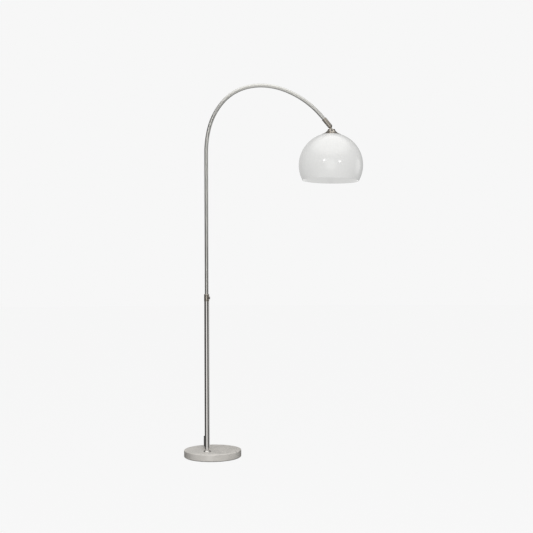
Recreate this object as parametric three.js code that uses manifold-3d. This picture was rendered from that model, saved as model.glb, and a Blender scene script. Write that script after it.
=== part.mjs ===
// Arc floor lamp: a round marble foot, an upright tube, a bent arc tube that slides and turns in it,
// and an opal globe shade on a tilting joint. Millimetres, +Z up, origin under the centre of the foot.
import * as THREE from 'three';
import { mergeVertices } from 'three/addons/utils/BufferGeometryUtils.js';
import Module from 'manifold-3d';

const wasm = await Module();
wasm.setup();

// ---------------------------------------------------------------- driving dimensions

const gap = 0.3;                       // clearance between pieces that touch or slide

// foot
const baseDiameter = 300;
const marbleThickness = 36;
const marbleEdgeRadius = 4;
const feltThickness = 2;
const feltMargin = 6;
const poleX = -25;                     // the pole stands off the foot's centre
const poleY = -66;
const boltRadius = 6;
const washerRadius = 20;
const washerThickness = 2.5;
const recessDepth = 14;
const boltHeadFlange = 4;
const boltHeadHeight = 7;
const footRingWidth = 7;
const footRingHeight = 7;

// lower pole and its collar
const poleRadius = 12.5;
const poleWall = 1.5;
const poleLength = 780;                // from the marble to the collar's lower edge
const poleSpigotLength = 10;           // the thinned end that the collar sits on
const poleSpigotStep = 0.5;
const polePlugLength = 40;
const collarProud = 0.7;               // the collar stands this far out from the pole
const collarHeight = 37.5;
const collarLip = 4;
const collarChamfer = 2;
const collarBushLength = 92;
const lockScrewHeight = 17.5;          // above the collar's lower edge
const lockScrewRadius = 2.5;
const lockHeadRadius = 7.5;
const lockHeadThickness = 4;
const lockHeadFlutes = 14;

// arc tube
const arcRadius = 9.5;
const arcWall = 1.2;
const arcInsertion = 250;              // length of arc tube inside the lower pole at rest
const arcRise = 774;                   // straight length from the collar's lower edge to the bend
const bends = [                        // circular bends in order from the upright: radius, turn
  { radius: 520, turn: 15 },
  { radius: 330, turn: 25 },
  { radius: 245, turn: 35 },
  { radius: 302, turn: 22 },
  { radius: 375, turn: 15 },
  { radius: 468, turn: 25 },
  { radius: 700, turn: 3.5 },
];
const bendStep = 5.5;                  // degrees of bend for each facet
const arcTail = 35;                    // straight end inside the sleeve
const guideBushLength = 20;
const leadRadius = 2.7;

// end sleeve and knuckle
const sleeveWall = 2.2;
const sleeveStart = 3;                 // from the end of the last bend
const sleeveTip = 64;
const sleeveRingProud = 0.6;
const sleeveRingLength = 3.5;
const tongueRadius = 7.5;
const tongueThickness = 8;
const pinDrop = 17.4;                  // hinge axis below the sleeve's tip
const pinRadius = 3;
const pinHeadFlange = 2.2;
const pinHeadThickness = 3.8;
const earSeat = 13;                    // from the middle plane to the face under the screw's head
const restTilt = 1.3;                  // degrees that the shade leans towards the pole

// cap and shade
const neckRadius = 19.2;
const neckTop = 9.5;                   // above the hinge axis
const capRadius = 50;
const capFlareTop = 5;                 // where the flare leaves the neck, above the hinge axis
const capFlareSag = 3.2;               // hollow of the flare
const capUnderSag = 1.2;               // dome of its underside, clear of the globe
const slotLeft = 17;
const slotRight = 14;
const slotRelief = 5.5;                // the slot runs this far below the hinge axis for the tilted tongue
const shadeRadius = 167;
const shadeWall = 3;
const shadeRimDrop = 80;               // the rim's plane below the globe's centre
const shadeHoleMargin = 1.3;           // round the cap's hub, which passes through the globe
const shadeTopDrop = 10.8;             // the globe's highest point below the hinge axis
const hubStep = 4.5;                   // from the hub to the spigot under it

// lampholder and bulb
const nippleRadius = 5;
const nippleBore = 3.5;
const gasketThickness = 1.5;
const gasketStandOff = 0.9;            // below the globe's true inner wall, whose facets stand proud
const clampWidth = 9.5;                // of the washer's ledge under the globe's hole
const clampWasherThickness = 2.2;
const nippleNutRadius = 8.5;
const nippleNutHeight = 5;
const bulbClearance = 2.4;             // round the bulb's screw cap, for the holder's threads
const holderWall = 4;
const holderCapHeight = 20;
const holderBodyLength = 34;
const bulbCapRadius = 13.1;
const bulbCapLength = 25;
const bulbRadius = 30;
const bulbLength = 108;

// cord, foot switch and plug
const cordRadius = 3.25;
const cordExitHeight = 73;             // above the marble
const cordExitAzimuth = 115;           // degrees from +X, towards the back left
const reliefLength = 20;
const reliefWall = 1.65;
const reliefFlange = 2;                // from the relief's neck out to its flange
const reliefFlangeThickness = 2.5;
const coilCentre = [-75, 205];
const coilTurnsAcross = 3;
const coilLayers = 2;
const coilMeanRadius = 36;
const tieThickness = 0.8;
const tieWidth = 9;
const switchCentre = [48, 199];
const switchLength = 60;
const switchWidth = 38;
const switchBaseHeight = 9;
const switchHeight = 19;
const switchWall = 2;
const buttonRadius = 12;
const buttonStand = 3.2;
const buttonTravel = 2.5;
const switchReliefLength = 14;
const cordGap = 0.5;                   // between a cord's end and the relief that it enters
const leadHeight = 6.6;                 // height of the cord where it enters the switch or the plug
const plugFront = [55, 235];           // middle of the face that the pins stand on
const plugLength = 36;
const plugWidth = 26;
const plugThickness = 14;
const plugReliefLength = 17;
const pinLength = 19;
const plugPinRadius = 2;
const plugPinSpacing = 18.6;

// ---------------------------------------------------------------- derived places

const marbleBottom = feltThickness + gap;
const marbleTop = feltThickness + marbleThickness;
const poleBottom = marbleTop + gap;
const poleTop = marbleTop + poleLength;
const boltHeadRadius = boltRadius + boltHeadFlange;
const footRingRadius = poleRadius + footRingWidth;
const collarRadius = poleRadius + collarProud;
const sleeveRadius = arcRadius + gap + sleeveWall;
const sleeveRingRadius = sleeveRadius + sleeveRingProud;
const pinHeadRadius = pinRadius + pinHeadFlange;
const shadeHoleRadius = neckRadius + shadeHoleMargin;
const spigotRadius = neckRadius - hubStep;
const clampWasherRadius = shadeHoleRadius + clampWidth;
const holderRadius = bulbCapRadius + bulbClearance + holderWall;
const cordBore = cordRadius + gap;
const reliefNeck = cordBore + reliefWall;
const reliefFlangeRadius = reliefNeck + reliefFlange;
const poleBore = poleRadius - poleWall;
const collarBottom = poleTop + gap;
const collarTop = collarBottom + collarHeight;
const lockZ = collarBottom + lockScrewHeight;
const bushOuter = poleBore - gap;
const bushInner = arcRadius + gap;
const bushTop = collarTop - collarLip - gap;
const arcBottom = poleTop - arcInsertion;
const bendStart = poleTop + arcRise;
const exitZ = marbleTop + cordExitHeight;
const pinDepth = -shadeTopDrop - shadeRadius;      // globe centre below the hinge axis
const gasketRadius = clampWasherRadius - 2;
const gasketTop = pinDepth + Math.sqrt((shadeRadius - shadeWall) ** 2 - gasketRadius ** 2) - gasketStandOff;
const gasketBottom = gasketTop - gasketThickness;
const radians = THREE.MathUtils.degToRad;

// ---------------------------------------------------------------- materials

function finish(color, roughness, metalness) {
  return { color, roughness, metalness };
}

const finishes = {
  marble: finish(0xc4c0bb, 0.3, 0),
  felt: finish(0x3a3a3a, 0.95, 0),
  steel: finish(0x9a9a98, 0.4, 1),
  chrome: finish(0xc8c6c2, 0.12, 1),
  brushed: finish(0xb4b3ad, 0.35, 1),
  nickel: finish(0xa69f95, 0.35, 1),
  nylon: finish(0xe6e2d8, 0.5, 0),
  copper: finish(0xb87a48, 0.4, 1),
  opal: finish(0xe8e7e4, 0.15, 0),
  rubber: finish(0x2a2a2a, 0.8, 0),
  porcelain: finish(0xf0eee8, 0.3, 0),
  black: finish(0x161616, 0.5, 0),
  brass: finish(0xb59a55, 0.35, 1),
};

// ---------------------------------------------------------------- geometry helpers

function weld(geometry) {
  const bare = geometry.index ? geometry.toNonIndexed() : geometry.clone();
  bare.deleteAttribute('normal');
  bare.deleteAttribute('uv');
  const merged = mergeVertices(bare, 1e-4);
  const position = merged.attributes.position;
  const index = Array.from(merged.index.array);
  const kept = [];
  for (let i = 0; i < index.length; i += 3) {
    const [a, b, c] = index.slice(i, i + 3);
    if (a !== b && b !== c && c !== a) kept.push(a, b, c);
  }
  const corner = [new THREE.Vector3(), new THREE.Vector3(), new THREE.Vector3()];
  let volume = 0;
  for (let i = 0; i < kept.length; i += 3) {
    corner.forEach((v, k) => v.fromBufferAttribute(position, kept[i + k]));
    volume += corner[0].dot(corner[1].clone().cross(corner[2]));
  }
  if (volume < 0) kept.reverse();
  merged.setIndex(kept);
  return merged;
}

function solid(geometry) {
  const welded = weld(geometry);
  return new wasm.Manifold(new wasm.Mesh({
    numProp: 3,
    vertProperties: new Float32Array(welded.attributes.position.array),
    triVerts: new Uint32Array(welded.index.array),
  }));
}

function surface(manifold) {
  const mesh = manifold.getMesh();
  const geometry = new THREE.BufferGeometry();
  geometry.setAttribute('position', new THREE.BufferAttribute(new Float32Array(mesh.vertProperties), 3));
  geometry.setIndex(Array.from(mesh.triVerts));
  return geometry;
}

function cut(body, ...tools) {
  return surface(tools.reduce((rest, tool) => rest.subtract(solid(tool)), solid(body)));
}

function join(...bodies) {
  const [first, ...others] = bodies.map(solid);
  return surface(others.reduce((whole, body) => whole.add(body), first));
}

function lathe(profile, segments = 24) {
  const points = profile.map(([r, z]) => new THREE.Vector2(r, z));
  return new THREE.LatheGeometry(points, segments).rotateX(Math.PI / 2);
}

function ring(inner, outer, low, high, segments = 24) {
  return lathe([[inner, low], [outer, low], [outer, high], [inner, high], [inner, low]], segments);
}

function rod(radius, low, high, segments = 24) {
  const geometry = new THREE.CylinderGeometry(radius, radius, high - low, segments);
  return geometry.rotateX(Math.PI / 2).translate(0, 0, (low + high) / 2);
}

function arcProfile(centre, radius, from, to, steps) {
  // points on a circle in the profile plane, angles in degrees from the +r direction
  const points = [];
  for (let i = 0; i <= steps; i++) {
    const angle = radians(from + ((to - from) * i) / steps);
    points.push([centre[0] + radius * Math.cos(angle), centre[1] + radius * Math.sin(angle)]);
  }
  return points;
}

function sagged(from, to, sag, steps) {
  // a shallow parabola between two profile points, hollowed by sag at its middle
  const along = [to[0] - from[0], to[1] - from[1]];
  const length = Math.hypot(...along);
  const normal = [along[1] / length, -along[0] / length];
  const points = [];
  for (let i = 0; i <= steps; i++) {
    const t = i / steps;
    const dip = 4 * sag * t * (1 - t);
    points.push([from[0] + along[0] * t + normal[0] * dip, from[1] + along[1] * t + normal[1] * dip]);
  }
  return points;
}

function circle(radius) {
  const shape = new THREE.Shape();
  shape.absarc(0, 0, radius, 0, Math.PI * 2, false);
  return shape;
}

function hollow(outer, inner) {
  const shape = circle(outer);
  shape.holes.push(circle(inner));
  return shape;
}

function sweep(shape, path, steps, sides) {
  return new THREE.ExtrudeGeometry(shape, { extrudePath: path, steps, curveSegments: sides });
}

function slab(shape, low, high, curveSegments = 12) {
  const geometry = new THREE.ExtrudeGeometry(shape, {
    depth: high - low, bevelEnabled: false, curveSegments,
  });
  return geometry.translate(0, 0, low);
}

function upright(geometry, y) {
  // turns a slab from the XY plane into the XZ plane, its middle at y
  return geometry.rotateX(Math.PI / 2).translate(0, y, 0);
}

function stadium(from, to, radius) {
  // outline of a strap between two points in a plane, with round ends
  const angle = Math.atan2(to[1] - from[1], to[0] - from[0]);
  const shape = new THREE.Shape();
  shape.absarc(to[0], to[1], radius, angle - Math.PI / 2, angle + Math.PI / 2, false);
  shape.absarc(from[0], from[1], radius, angle + Math.PI / 2, angle + (3 * Math.PI) / 2, false);
  shape.closePath();
  return shape;
}

function place(group, name, geometry, finishName, position = [0, 0, 0], rotation = [0, 0, 0]) {
  const mesh = new THREE.Mesh(weld(geometry), new THREE.MeshStandardMaterial(finishes[finishName]));
  mesh.name = name;
  mesh.position.set(...position);
  mesh.rotation.set(...rotation);
  group.add(mesh);
}

// ---------------------------------------------------------------- arc centreline

class Route extends THREE.Curve {
  // a polyline of exact stations, each with its own heading, in the upright plane of the arc
  constructor(stations) {
    super();
    this.stations = stations;
  }

  getPointAt(u, target = new THREE.Vector3()) {
    const { x, z } = this.stations[Math.round(u * (this.stations.length - 1))];
    return target.set(x, 0, z);
  }

  getTangentAt(u, target = new THREE.Vector3()) {
    const { heading } = this.stations[Math.round(u * (this.stations.length - 1))];
    return target.set(Math.cos(heading), 0, Math.sin(heading));
  }
}

function arcStations(low, tail) {
  const stations = [{ x: 0, z: low, heading: Math.PI / 2 }];
  let here = { x: 0, z: bendStart, heading: Math.PI / 2 };
  stations.push(here);
  for (const { radius, turn } of bends) {
    const pieces = Math.max(1, Math.round(turn / bendStep));
    const start = here;
    for (let i = 1; i <= pieces; i++) {
      const heading = start.heading - radians((turn * i) / pieces);
      here = {
        x: start.x + radius * (Math.sin(start.heading) - Math.sin(heading)),
        z: start.z + radius * (Math.cos(heading) - Math.cos(start.heading)),
        heading,
      };
      stations.push(here);
    }
  }
  stations.push({
    x: here.x + tail * Math.cos(here.heading),
    z: here.z + tail * Math.sin(here.heading),
    heading: here.heading,
  });
  return stations;
}

const arcRoute = arcStations(arcBottom, arcTail);
const arcEnd = arcRoute[arcRoute.length - 2];
const sleeveTurn = Math.PI / 2 - arcEnd.heading;   // turns +Z into the tail's heading, about +Y
const hinge = {
  x: arcEnd.x + sleeveTip * Math.cos(arcEnd.heading),
  z: arcEnd.z + sleeveTip * Math.sin(arcEnd.heading) - pinDrop,
};

// ---------------------------------------------------------------- foot

function buildFoot(lamp) {
  const baseRadius = baseDiameter / 2;
  const soft = marbleEdgeRadius;
  const marble = lathe([
    [0, marbleBottom],
    ...arcProfile([baseRadius - soft, marbleBottom + soft], soft, -90, 0, 3),
    ...arcProfile([baseRadius - soft, marbleTop - soft], soft, 0, 90, 3),
    [0, marbleTop],
  ], 64);
  const at = [poleX, poleY, 0];
  const recess = rod(washerRadius + 2, 0, marbleBottom + recessDepth, 40).translate(...at);
  const boltHole = rod(boltRadius + 1, 0, marbleTop + 1, 32).translate(...at);
  place(lamp, 'marble_base', cut(marble, recess, boltHole), 'marble');

  const felt = rod(baseRadius - feltMargin, 0, feltThickness, 48);
  place(lamp, 'base_felt', cut(felt, rod(washerRadius + 2, -1, feltThickness + 1, 40).translate(...at)), 'felt');

  const washerTop = marbleBottom + recessDepth - gap;
  const washerBottom = washerTop - washerThickness;
  const headTop = washerBottom - gap;
  place(lamp, 'base_washer', ring(boltRadius + gap, washerRadius, washerBottom, washerTop), 'steel', at);
  const head = rod(boltHeadRadius, headTop - boltHeadHeight, headTop, 6);
  const shank = rod(boltRadius, headTop - 1, poleBottom + polePlugLength - 6, 28);
  place(lamp, 'base_bolt', join(head, shank), 'steel', at);
}

// ---------------------------------------------------------------- lower pole

function buildPole(lamp) {
  const pole = new THREE.Group();
  pole.position.set(poleX, poleY, 0);
  lamp.add(pole);

  const spigot = poleRadius - poleSpigotStep;
  const tube = lathe([
    [poleBore, poleBottom], [poleRadius, poleBottom], [poleRadius, poleTop], [spigot, poleTop],
    [spigot, poleTop + poleSpigotLength], [poleBore, poleTop + poleSpigotLength], [poleBore, poleBottom],
  ], 40);
  const exitHole = rod(reliefNeck + gap, 2, poleRadius + 5, 24).rotateY(Math.PI / 2);
  exitHole.rotateZ(radians(cordExitAzimuth)).translate(0, 0, exitZ);
  place(pole, 'lower_pole', cut(tube, exitHole), 'chrome');

  const plugBottom = poleBottom + gap;
  const plug = ring(boltRadius + gap, poleBore - gap, plugBottom, plugBottom + polePlugLength);
  place(pole, 'pole_plug', plug, 'steel');

  const inner = poleRadius + gap;
  const top = poleBottom + footRingHeight;
  place(pole, 'pole_foot_ring', lathe([
    [inner, poleBottom], [footRingRadius, poleBottom], [footRingRadius, poleBottom + 1.6],
    [footRingRadius - 1.2, poleBottom + 2.8], [inner + 3.2, top - 1.8], [inner + 1.6, top],
    [inner, top], [inner, poleBottom],
  ]), 'chrome');

  buildRelief(pole);
  buildPoleLead(pole);
  buildCollar(pole);
}

function buildRelief(pole) {
  // a tapered rubber relief, its axis radial from the pole
  const inside = poleBore - 1;
  const face = poleRadius + gap;
  const flange = face + reliefFlangeThickness;
  const tip = flange + reliefLength;
  const relief = lathe([
    [cordBore, inside], [reliefNeck, inside], [reliefNeck, face], [reliefFlangeRadius, face],
    [reliefFlangeRadius, flange - 0.8], [reliefFlangeRadius - 0.8, flange], [reliefNeck + 0.6, flange],
    [cordBore + 1, tip], [cordBore, tip], [cordBore, inside],
  ], 28);
  relief.rotateY(Math.PI / 2);
  place(pole, 'cord_relief', relief, 'rubber', [0, 0, exitZ], [0, 0, radians(cordExitAzimuth)]);
}

function buildPoleLead(pole) {
  // the lead turns up inside the pole and ends below the arc tube's lowest place
  const start = poleBore - 1 - gap;
  const bend = 7;
  const points = [
    new THREE.Vector3(start, 0, 0),
    new THREE.Vector3(start - bend * 0.4, 0, bend * 0.08),
    new THREE.Vector3(start - bend * 0.8, 0, bend * 0.45),
    new THREE.Vector3(start - bend, 0, bend * 1.1),
    new THREE.Vector3(start - bend - 1, 0, bend * 3),
    new THREE.Vector3(0.5, 0, bend * 8),
    new THREE.Vector3(0, 0, arcBottom - exitZ - 320),
  ];
  const lead = sweep(circle(leadRadius), new THREE.CatmullRomCurve3(points), 16, 4);
  place(pole, 'pole_lead', lead, 'black', [0, 0, exitZ], [0, 0, radians(cordExitAzimuth)]);
}

function buildCollar(pole) {
  const spigotBore = poleRadius - poleSpigotStep + gap;
  const seat = poleTop + poleSpigotLength + gap;
  const lipRadius = arcRadius + 0.6;
  const body = lathe([
    [spigotBore, collarBottom], [collarRadius, collarBottom], [collarRadius, collarTop - collarChamfer],
    [collarRadius - collarChamfer, collarTop], [lipRadius, collarTop], [lipRadius, collarTop - collarLip],
    [poleBore, collarTop - collarLip], [poleBore, seat], [spigotBore, seat], [spigotBore, collarBottom],
  ]);
  const screwHole = rod(lockScrewRadius + gap, 5, collarRadius + 3, 24).rotateY(Math.PI / 2);
  place(pole, 'collar', cut(body, screwHole.translate(0, 0, lockZ)), 'nickel');

  const flutes = new THREE.Shape();
  const points = lockHeadFlutes * 4;
  for (let i = 0; i < points; i++) {
    const angle = (i / points) * Math.PI * 2;
    const radius = lockHeadRadius - 0.35 + 0.35 * Math.cos(angle * lockHeadFlutes);
    flutes[i ? 'lineTo' : 'moveTo'](radius * Math.cos(angle), radius * Math.sin(angle));
  }
  const under = collarRadius + gap;
  const head = slab(flutes, under, under + lockHeadThickness - 0.8);
  const crown = lathe([
    [0, under + 0.5], [lockHeadRadius - 1.2, under + 0.5],
    [lockHeadRadius - 1.2, under + lockHeadThickness - 0.6], [lockHeadRadius - 2.4, under + lockHeadThickness],
    [0, under + lockHeadThickness],
  ]);
  const shank = rod(lockScrewRadius, poleBore - gap / 2, under + 1, 24);
  place(pole, 'locking_screw', join(head, crown, shank).rotateY(Math.PI / 2), 'nickel', [0, 0, lockZ]);

  place(pole, 'collar_bush', ring(bushInner, bushOuter, bushTop - collarBushLength, bushTop), 'nylon');
}

// ---------------------------------------------------------------- arc

function buildArc(lamp) {
  const arc = new THREE.Group();
  arc.position.set(poleX, poleY, 0);
  lamp.add(arc);

  const steps = arcRoute.length - 1;
  const tube = sweep(hollow(arcRadius, arcRadius - arcWall), new Route(arcRoute), steps, 8);
  place(arc, 'arc_tube', tube, 'brushed');

  const leadRoute = arcStations(arcBottom + 5, arcTail - 5);
  place(arc, 'arc_lead', sweep(circle(leadRadius), new Route(leadRoute), steps, 4), 'black');

  const guideLow = arcBottom + 4;
  place(arc, 'guide_bush', ring(bushInner, bushOuter, guideLow, guideLow + guideBushLength), 'nylon');

  const end = new THREE.Group();
  end.position.set(arcEnd.x, 0, arcEnd.z);
  end.rotation.y = sleeveTurn;
  arc.add(end);
  buildSleeve(end);
}

function buildSleeve(end) {
  // local +Z runs down the tail; the tongue turns off it towards the hinge
  const middle = [0, sleeveTip - sleeveRadius];
  const pin = [
    pinDrop * Math.sin(sleeveTurn),
    sleeveTip - pinDrop * Math.cos(sleeveTurn),
  ];
  const bore = arcRadius + gap;
  const sleeve = lathe([
    [0, sleeveTip - sleeveRadius - 8],
    [bore, sleeveTip - sleeveRadius - 8], [bore, sleeveStart],
    [sleeveRingRadius - 0.8, sleeveStart], [sleeveRingRadius, sleeveStart + 0.8],
    [sleeveRingRadius, sleeveStart + sleeveRingLength], [sleeveRadius, sleeveStart + sleeveRingLength + 0.6],
    ...arcProfile(middle, sleeveRadius, 0, 90, 5),
  ], 28);
  const wide = tongueThickness + 2 * gap;
  const slot = upright(slab(stadium(middle, pin, tongueRadius + gap), 0, wide), wide / 2);
  place(end, 'end_sleeve', cut(sleeve, slot), 'nickel');

  const strap = upright(slab(stadium(middle, pin, tongueRadius), 0, tongueThickness, 16), tongueThickness / 2);
  const pinHole = rod(pinRadius + gap / 2, -tongueThickness, tongueThickness, 24).rotateX(Math.PI / 2);
  place(end, 'knuckle_tongue', cut(strap, pinHole.translate(pin[0], 0, pin[1])), 'nickel');
}

// ---------------------------------------------------------------- shade and its fittings

function buildShade(lamp) {
  // every height here is from the hinge axis, and down is negative
  const group = new THREE.Group();
  group.position.set(poleX + hinge.x, poleY, hinge.z);
  group.rotation.y = radians(restTilt);
  lamp.add(group);

  buildCap(group);

  const centre = [0, pinDepth];
  const inside = shadeRadius - shadeWall;
  const edge = (radius) => 90 - THREE.MathUtils.radToDeg(Math.asin(shadeHoleRadius / radius));
  const rim = (radius) => -THREE.MathUtils.radToDeg(Math.asin(shadeRimDrop / radius));
  const outerWall = arcProfile(centre, shadeRadius, edge(shadeRadius), rim(shadeRadius), 14);
  const innerWall = arcProfile(centre, inside, rim(inside), edge(inside), 14);
  place(group, 'shade', lathe([...outerWall, ...innerWall, outerWall[0]], 42), 'opal');

  const washerTop = gasketBottom - gap;
  const washerBottom = washerTop - clampWasherThickness;
  const nutTop = washerBottom - gap;
  const holderTop = nutTop - nippleNutHeight - 3;
  place(group, 'shade_gasket', ring(shadeHoleRadius + 0.5, gasketRadius, gasketBottom, gasketTop), 'rubber');
  const clamp = ring(nippleRadius + gap, clampWasherRadius, washerBottom, washerTop);
  place(group, 'shade_washer', clamp, 'steel');
  const nut = cut(rod(nippleNutRadius, nutTop - nippleNutHeight, nutTop, 6),
    rod(nippleRadius + gap, nutTop - nippleNutHeight - 1, nutTop + 1, 28));
  place(group, 'nipple_nut', nut, 'brass');
  place(group, 'shade_nipple', ring(nippleBore, nippleRadius, holderTop - 8, -tongueRadius - 2, 28), 'brass');

  buildHolder(group, holderTop);
}

function buildCap(group) {
  // turned cap: the neck is the hinge's fork, the skirt flares down to the globe
  const skirt = pinDepth + Math.sqrt(shadeRadius ** 2 - capRadius ** 2) + gap + 0.4;
  const spigotBottom = gasketBottom + gap;
  const webBottom = -tongueRadius - 5.5;
  const outerFlare = sagged([neckRadius + 0.2, capFlareTop], [capRadius, skirt + 1.2], capFlareSag, 6);
  const innerFlare = sagged([capRadius - 0.6, skirt], [neckRadius + 1, webBottom + 4.2], capUnderSag, 4);
  const bore = nippleRadius + gap;
  const body = lathe([
    [bore, neckTop], [neckRadius - 1.2, neckTop], [neckRadius, neckTop - 1.2], ...outerFlare,
    [capRadius, skirt], ...innerFlare, [neckRadius + 1, webBottom], [spigotRadius, webBottom],
    [spigotRadius, spigotBottom], [bore, spigotBottom], [bore, neckTop],
  ], 32);

  const wide = tongueThickness + 2 * gap;
  const slotTop = new THREE.BoxGeometry(slotLeft + slotRight, wide, neckTop + 2 + slotRelief);
  slotTop.translate((slotRight - slotLeft) / 2, 0, (neckTop + 2 - slotRelief) / 2);
  const slotBottom = rod(tongueRadius + 2 * gap, -wide / 2, wide / 2, 40).rotateX(Math.PI / 2);
  const pinHole = rod(pinRadius + gap / 2, -capRadius, capRadius, 24).rotateX(Math.PI / 2);
  const headHole = rod(pinHeadRadius + 2 * gap, earSeat, capRadius, 32).rotateX(Math.PI / 2);
  const nutHole = rod(pinHeadRadius + 2 * gap, -capRadius, -earSeat, 32).rotateX(Math.PI / 2);
  place(group, 'shade_cap', cut(body, slotTop, slotBottom, pinHole, headHole, nutHole), 'nickel');

  const headFace = earSeat + gap;
  const screw = join(
    rod(pinRadius, -headFace - pinHeadThickness, headFace + 1, 24),
    lathe([
      [0, headFace], [pinHeadRadius, headFace], [pinHeadRadius, headFace + pinHeadThickness - 1],
      [pinHeadRadius - 1, headFace + pinHeadThickness], [0, headFace + pinHeadThickness],
    ], 28),
  );
  place(group, 'hinge_screw', screw.rotateX(Math.PI / 2), 'steel');
  const nut = cut(rod(pinHeadRadius, headFace, headFace + pinHeadThickness - 0.8, 6),
    rod(pinRadius + gap / 2, 0, headFace + 10, 24));
  place(group, 'hinge_nut', nut.rotateX(-Math.PI / 2), 'steel');
}

function buildHolder(group, top) {
  // a screw-shell lampholder: domed cap, barrel, insulating insert and centre contact, then the bulb
  const inner = holderRadius - holderWall;
  const capBottom = top - holderCapHeight;
  const bore = nippleRadius + gap;
  place(group, 'holder_cap', lathe([
    [bore, top], [bore + 5, top], ...arcProfile([bore + 5, top - 9], holderRadius - bore - 5, 90, 0, 5),
    [holderRadius, capBottom], [inner, capBottom], [inner, top - 9], [bore + 4, top - 4], [bore, top - 4],
    [bore, top],
  ]), 'black');

  const bodyTop = capBottom - gap;
  const bodyBottom = bodyTop - holderBodyLength;
  const body = lathe([
    [inner, bodyTop], [holderRadius, bodyTop], [holderRadius, bodyBottom + 9], [holderRadius + 1, bodyBottom + 8],
    [holderRadius + 1, bodyBottom + 3], [holderRadius, bodyBottom + 2], [holderRadius, bodyBottom],
    [inner, bodyBottom], [inner, bodyTop],
  ]);
  place(group, 'holder_body', body, 'black');

  const insertTop = bodyTop - 1;
  const insertBottom = insertTop - 5;
  place(group, 'holder_insert', ring(4, inner - gap, insertBottom, insertTop, 36), 'porcelain');
  place(group, 'holder_contact', rod(4 - gap, insertBottom - 1.2, insertTop - 1, 20), 'brass');

  const bulbTop = insertBottom - 1.2 - gap;
  const threads = 4;
  const profile = [[0, bulbTop], [4.5, bulbTop], [9, bulbTop - 3]];
  for (let i = 0; i < threads; i++) {
    const z = bulbTop - 4 - i * 5;
    profile.push([bulbCapRadius - 1, z], [bulbCapRadius, z - 1.6], [bulbCapRadius, z - 2.6]);
  }
  profile.push([bulbCapRadius - 1, bulbTop - bulbCapLength + 0.5], [bulbCapRadius - 1, bulbTop - bulbCapLength]);
  profile.push([0, bulbTop - bulbCapLength]);
  place(group, 'bulb_cap', lathe(profile, 20), 'brass');

  const neck = bulbTop - bulbCapLength - gap;
  const globeCentre = bulbTop - bulbLength + bulbRadius;
  const shoulder = sagged([bulbCapRadius + 0.5, neck - 4], [bulbRadius * 0.94, globeCentre + bulbRadius * 0.34], 3, 6);
  place(group, 'bulb_globe', lathe([
    [0, neck], [bulbCapRadius + 0.5, neck], ...shoulder,
    ...arcProfile([0, globeCentre], bulbRadius, 14, -90, 8),
  ], 24), 'opal');
}

// ---------------------------------------------------------------- cord, switch and plug

const exitAngle = radians(cordExitAzimuth);
const exitReach = poleRadius + gap + reliefFlangeThickness + reliefLength + cordGap;
const cordExit = [
  poleX + exitReach * Math.cos(exitAngle),
  poleY + exitReach * Math.sin(exitAngle),
  exitZ,
];
const floorZ = cordRadius + 0.2;

// from the relief, over the marble's rear rim and along the floor to the switch
const lampRoute = [
  cordExit,
  [-42.4, -24, 110.4], [-42.8, -10, 106.8], [-43.8, 6, 99.5], [-45.2, 22, 88.8], [-46.4, 38, 76],
  [-47.4, 54, 63.6], [-48.4, 70, 53.4], [-49.3, 86, 46.2], [-49.8, 102, 42.6], [-49.6, 117, 41.8],
  [-48.4, 130, 41.8], [-45.6, 141, 41.4], [-42.4, 149.6, 38.6], [-38, 157.4, 31.6], [-33.6, 165, 21.6],
  [-29.2, 172.4, 12], [-24.8, 179.6, 6.2], [-19.6, 186.2, 3.9], [-13.4, 192.4, 4], [-6, 197, 5.2],
  [-1.5, switchCentre[1] - 0.3, leadHeight - 0.4],
  [switchCentre[0] - switchLength / 2 - switchReliefLength - cordGap, switchCentre[1], leadHeight],
];

// from the switch, round behind it and back to the outer turn of the coil
const feedRoute = [
  [switchCentre[0] + switchLength / 2 + switchReliefLength + cordGap, switchCentre[1], leadHeight],
  [97, switchCentre[1] + 0.4, leadHeight - 0.4], [104.4, 202.2, 5], [112, 207.4, 3.9], [118.6, 214.6, floorZ],
  [122.6, 223.4, floorZ], [123.8, 233.4, floorZ],
  [121.4, 244.4, floorZ], [115, 254.6, floorZ], [105, 262.6, floorZ], [92, 267.6, floorZ],
  [76, 269.6, floorZ], [58, 269.4, floorZ], [38, 267, floorZ], [18, 263.4, floorZ], [-2, 259.4, floorZ],
  [-20, 255.6, floorZ + 0.3], [-36, 252.2, floorZ + 0.7], [-49, 249.6, floorZ + 1],
];

// from the coil's upper layer down to the plug
const tailRoute = [
  [-28.2, 221.6, 10.2], [-25, 226.4, 9.4], [-20, 231, 8.4], [-13.6, 233.9, 7.6],
  [-5, plugFront[1], leadHeight + 0.4],
  [plugFront[0] - plugLength - plugReliefLength - cordGap, plugFront[1], leadHeight],
];

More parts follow.
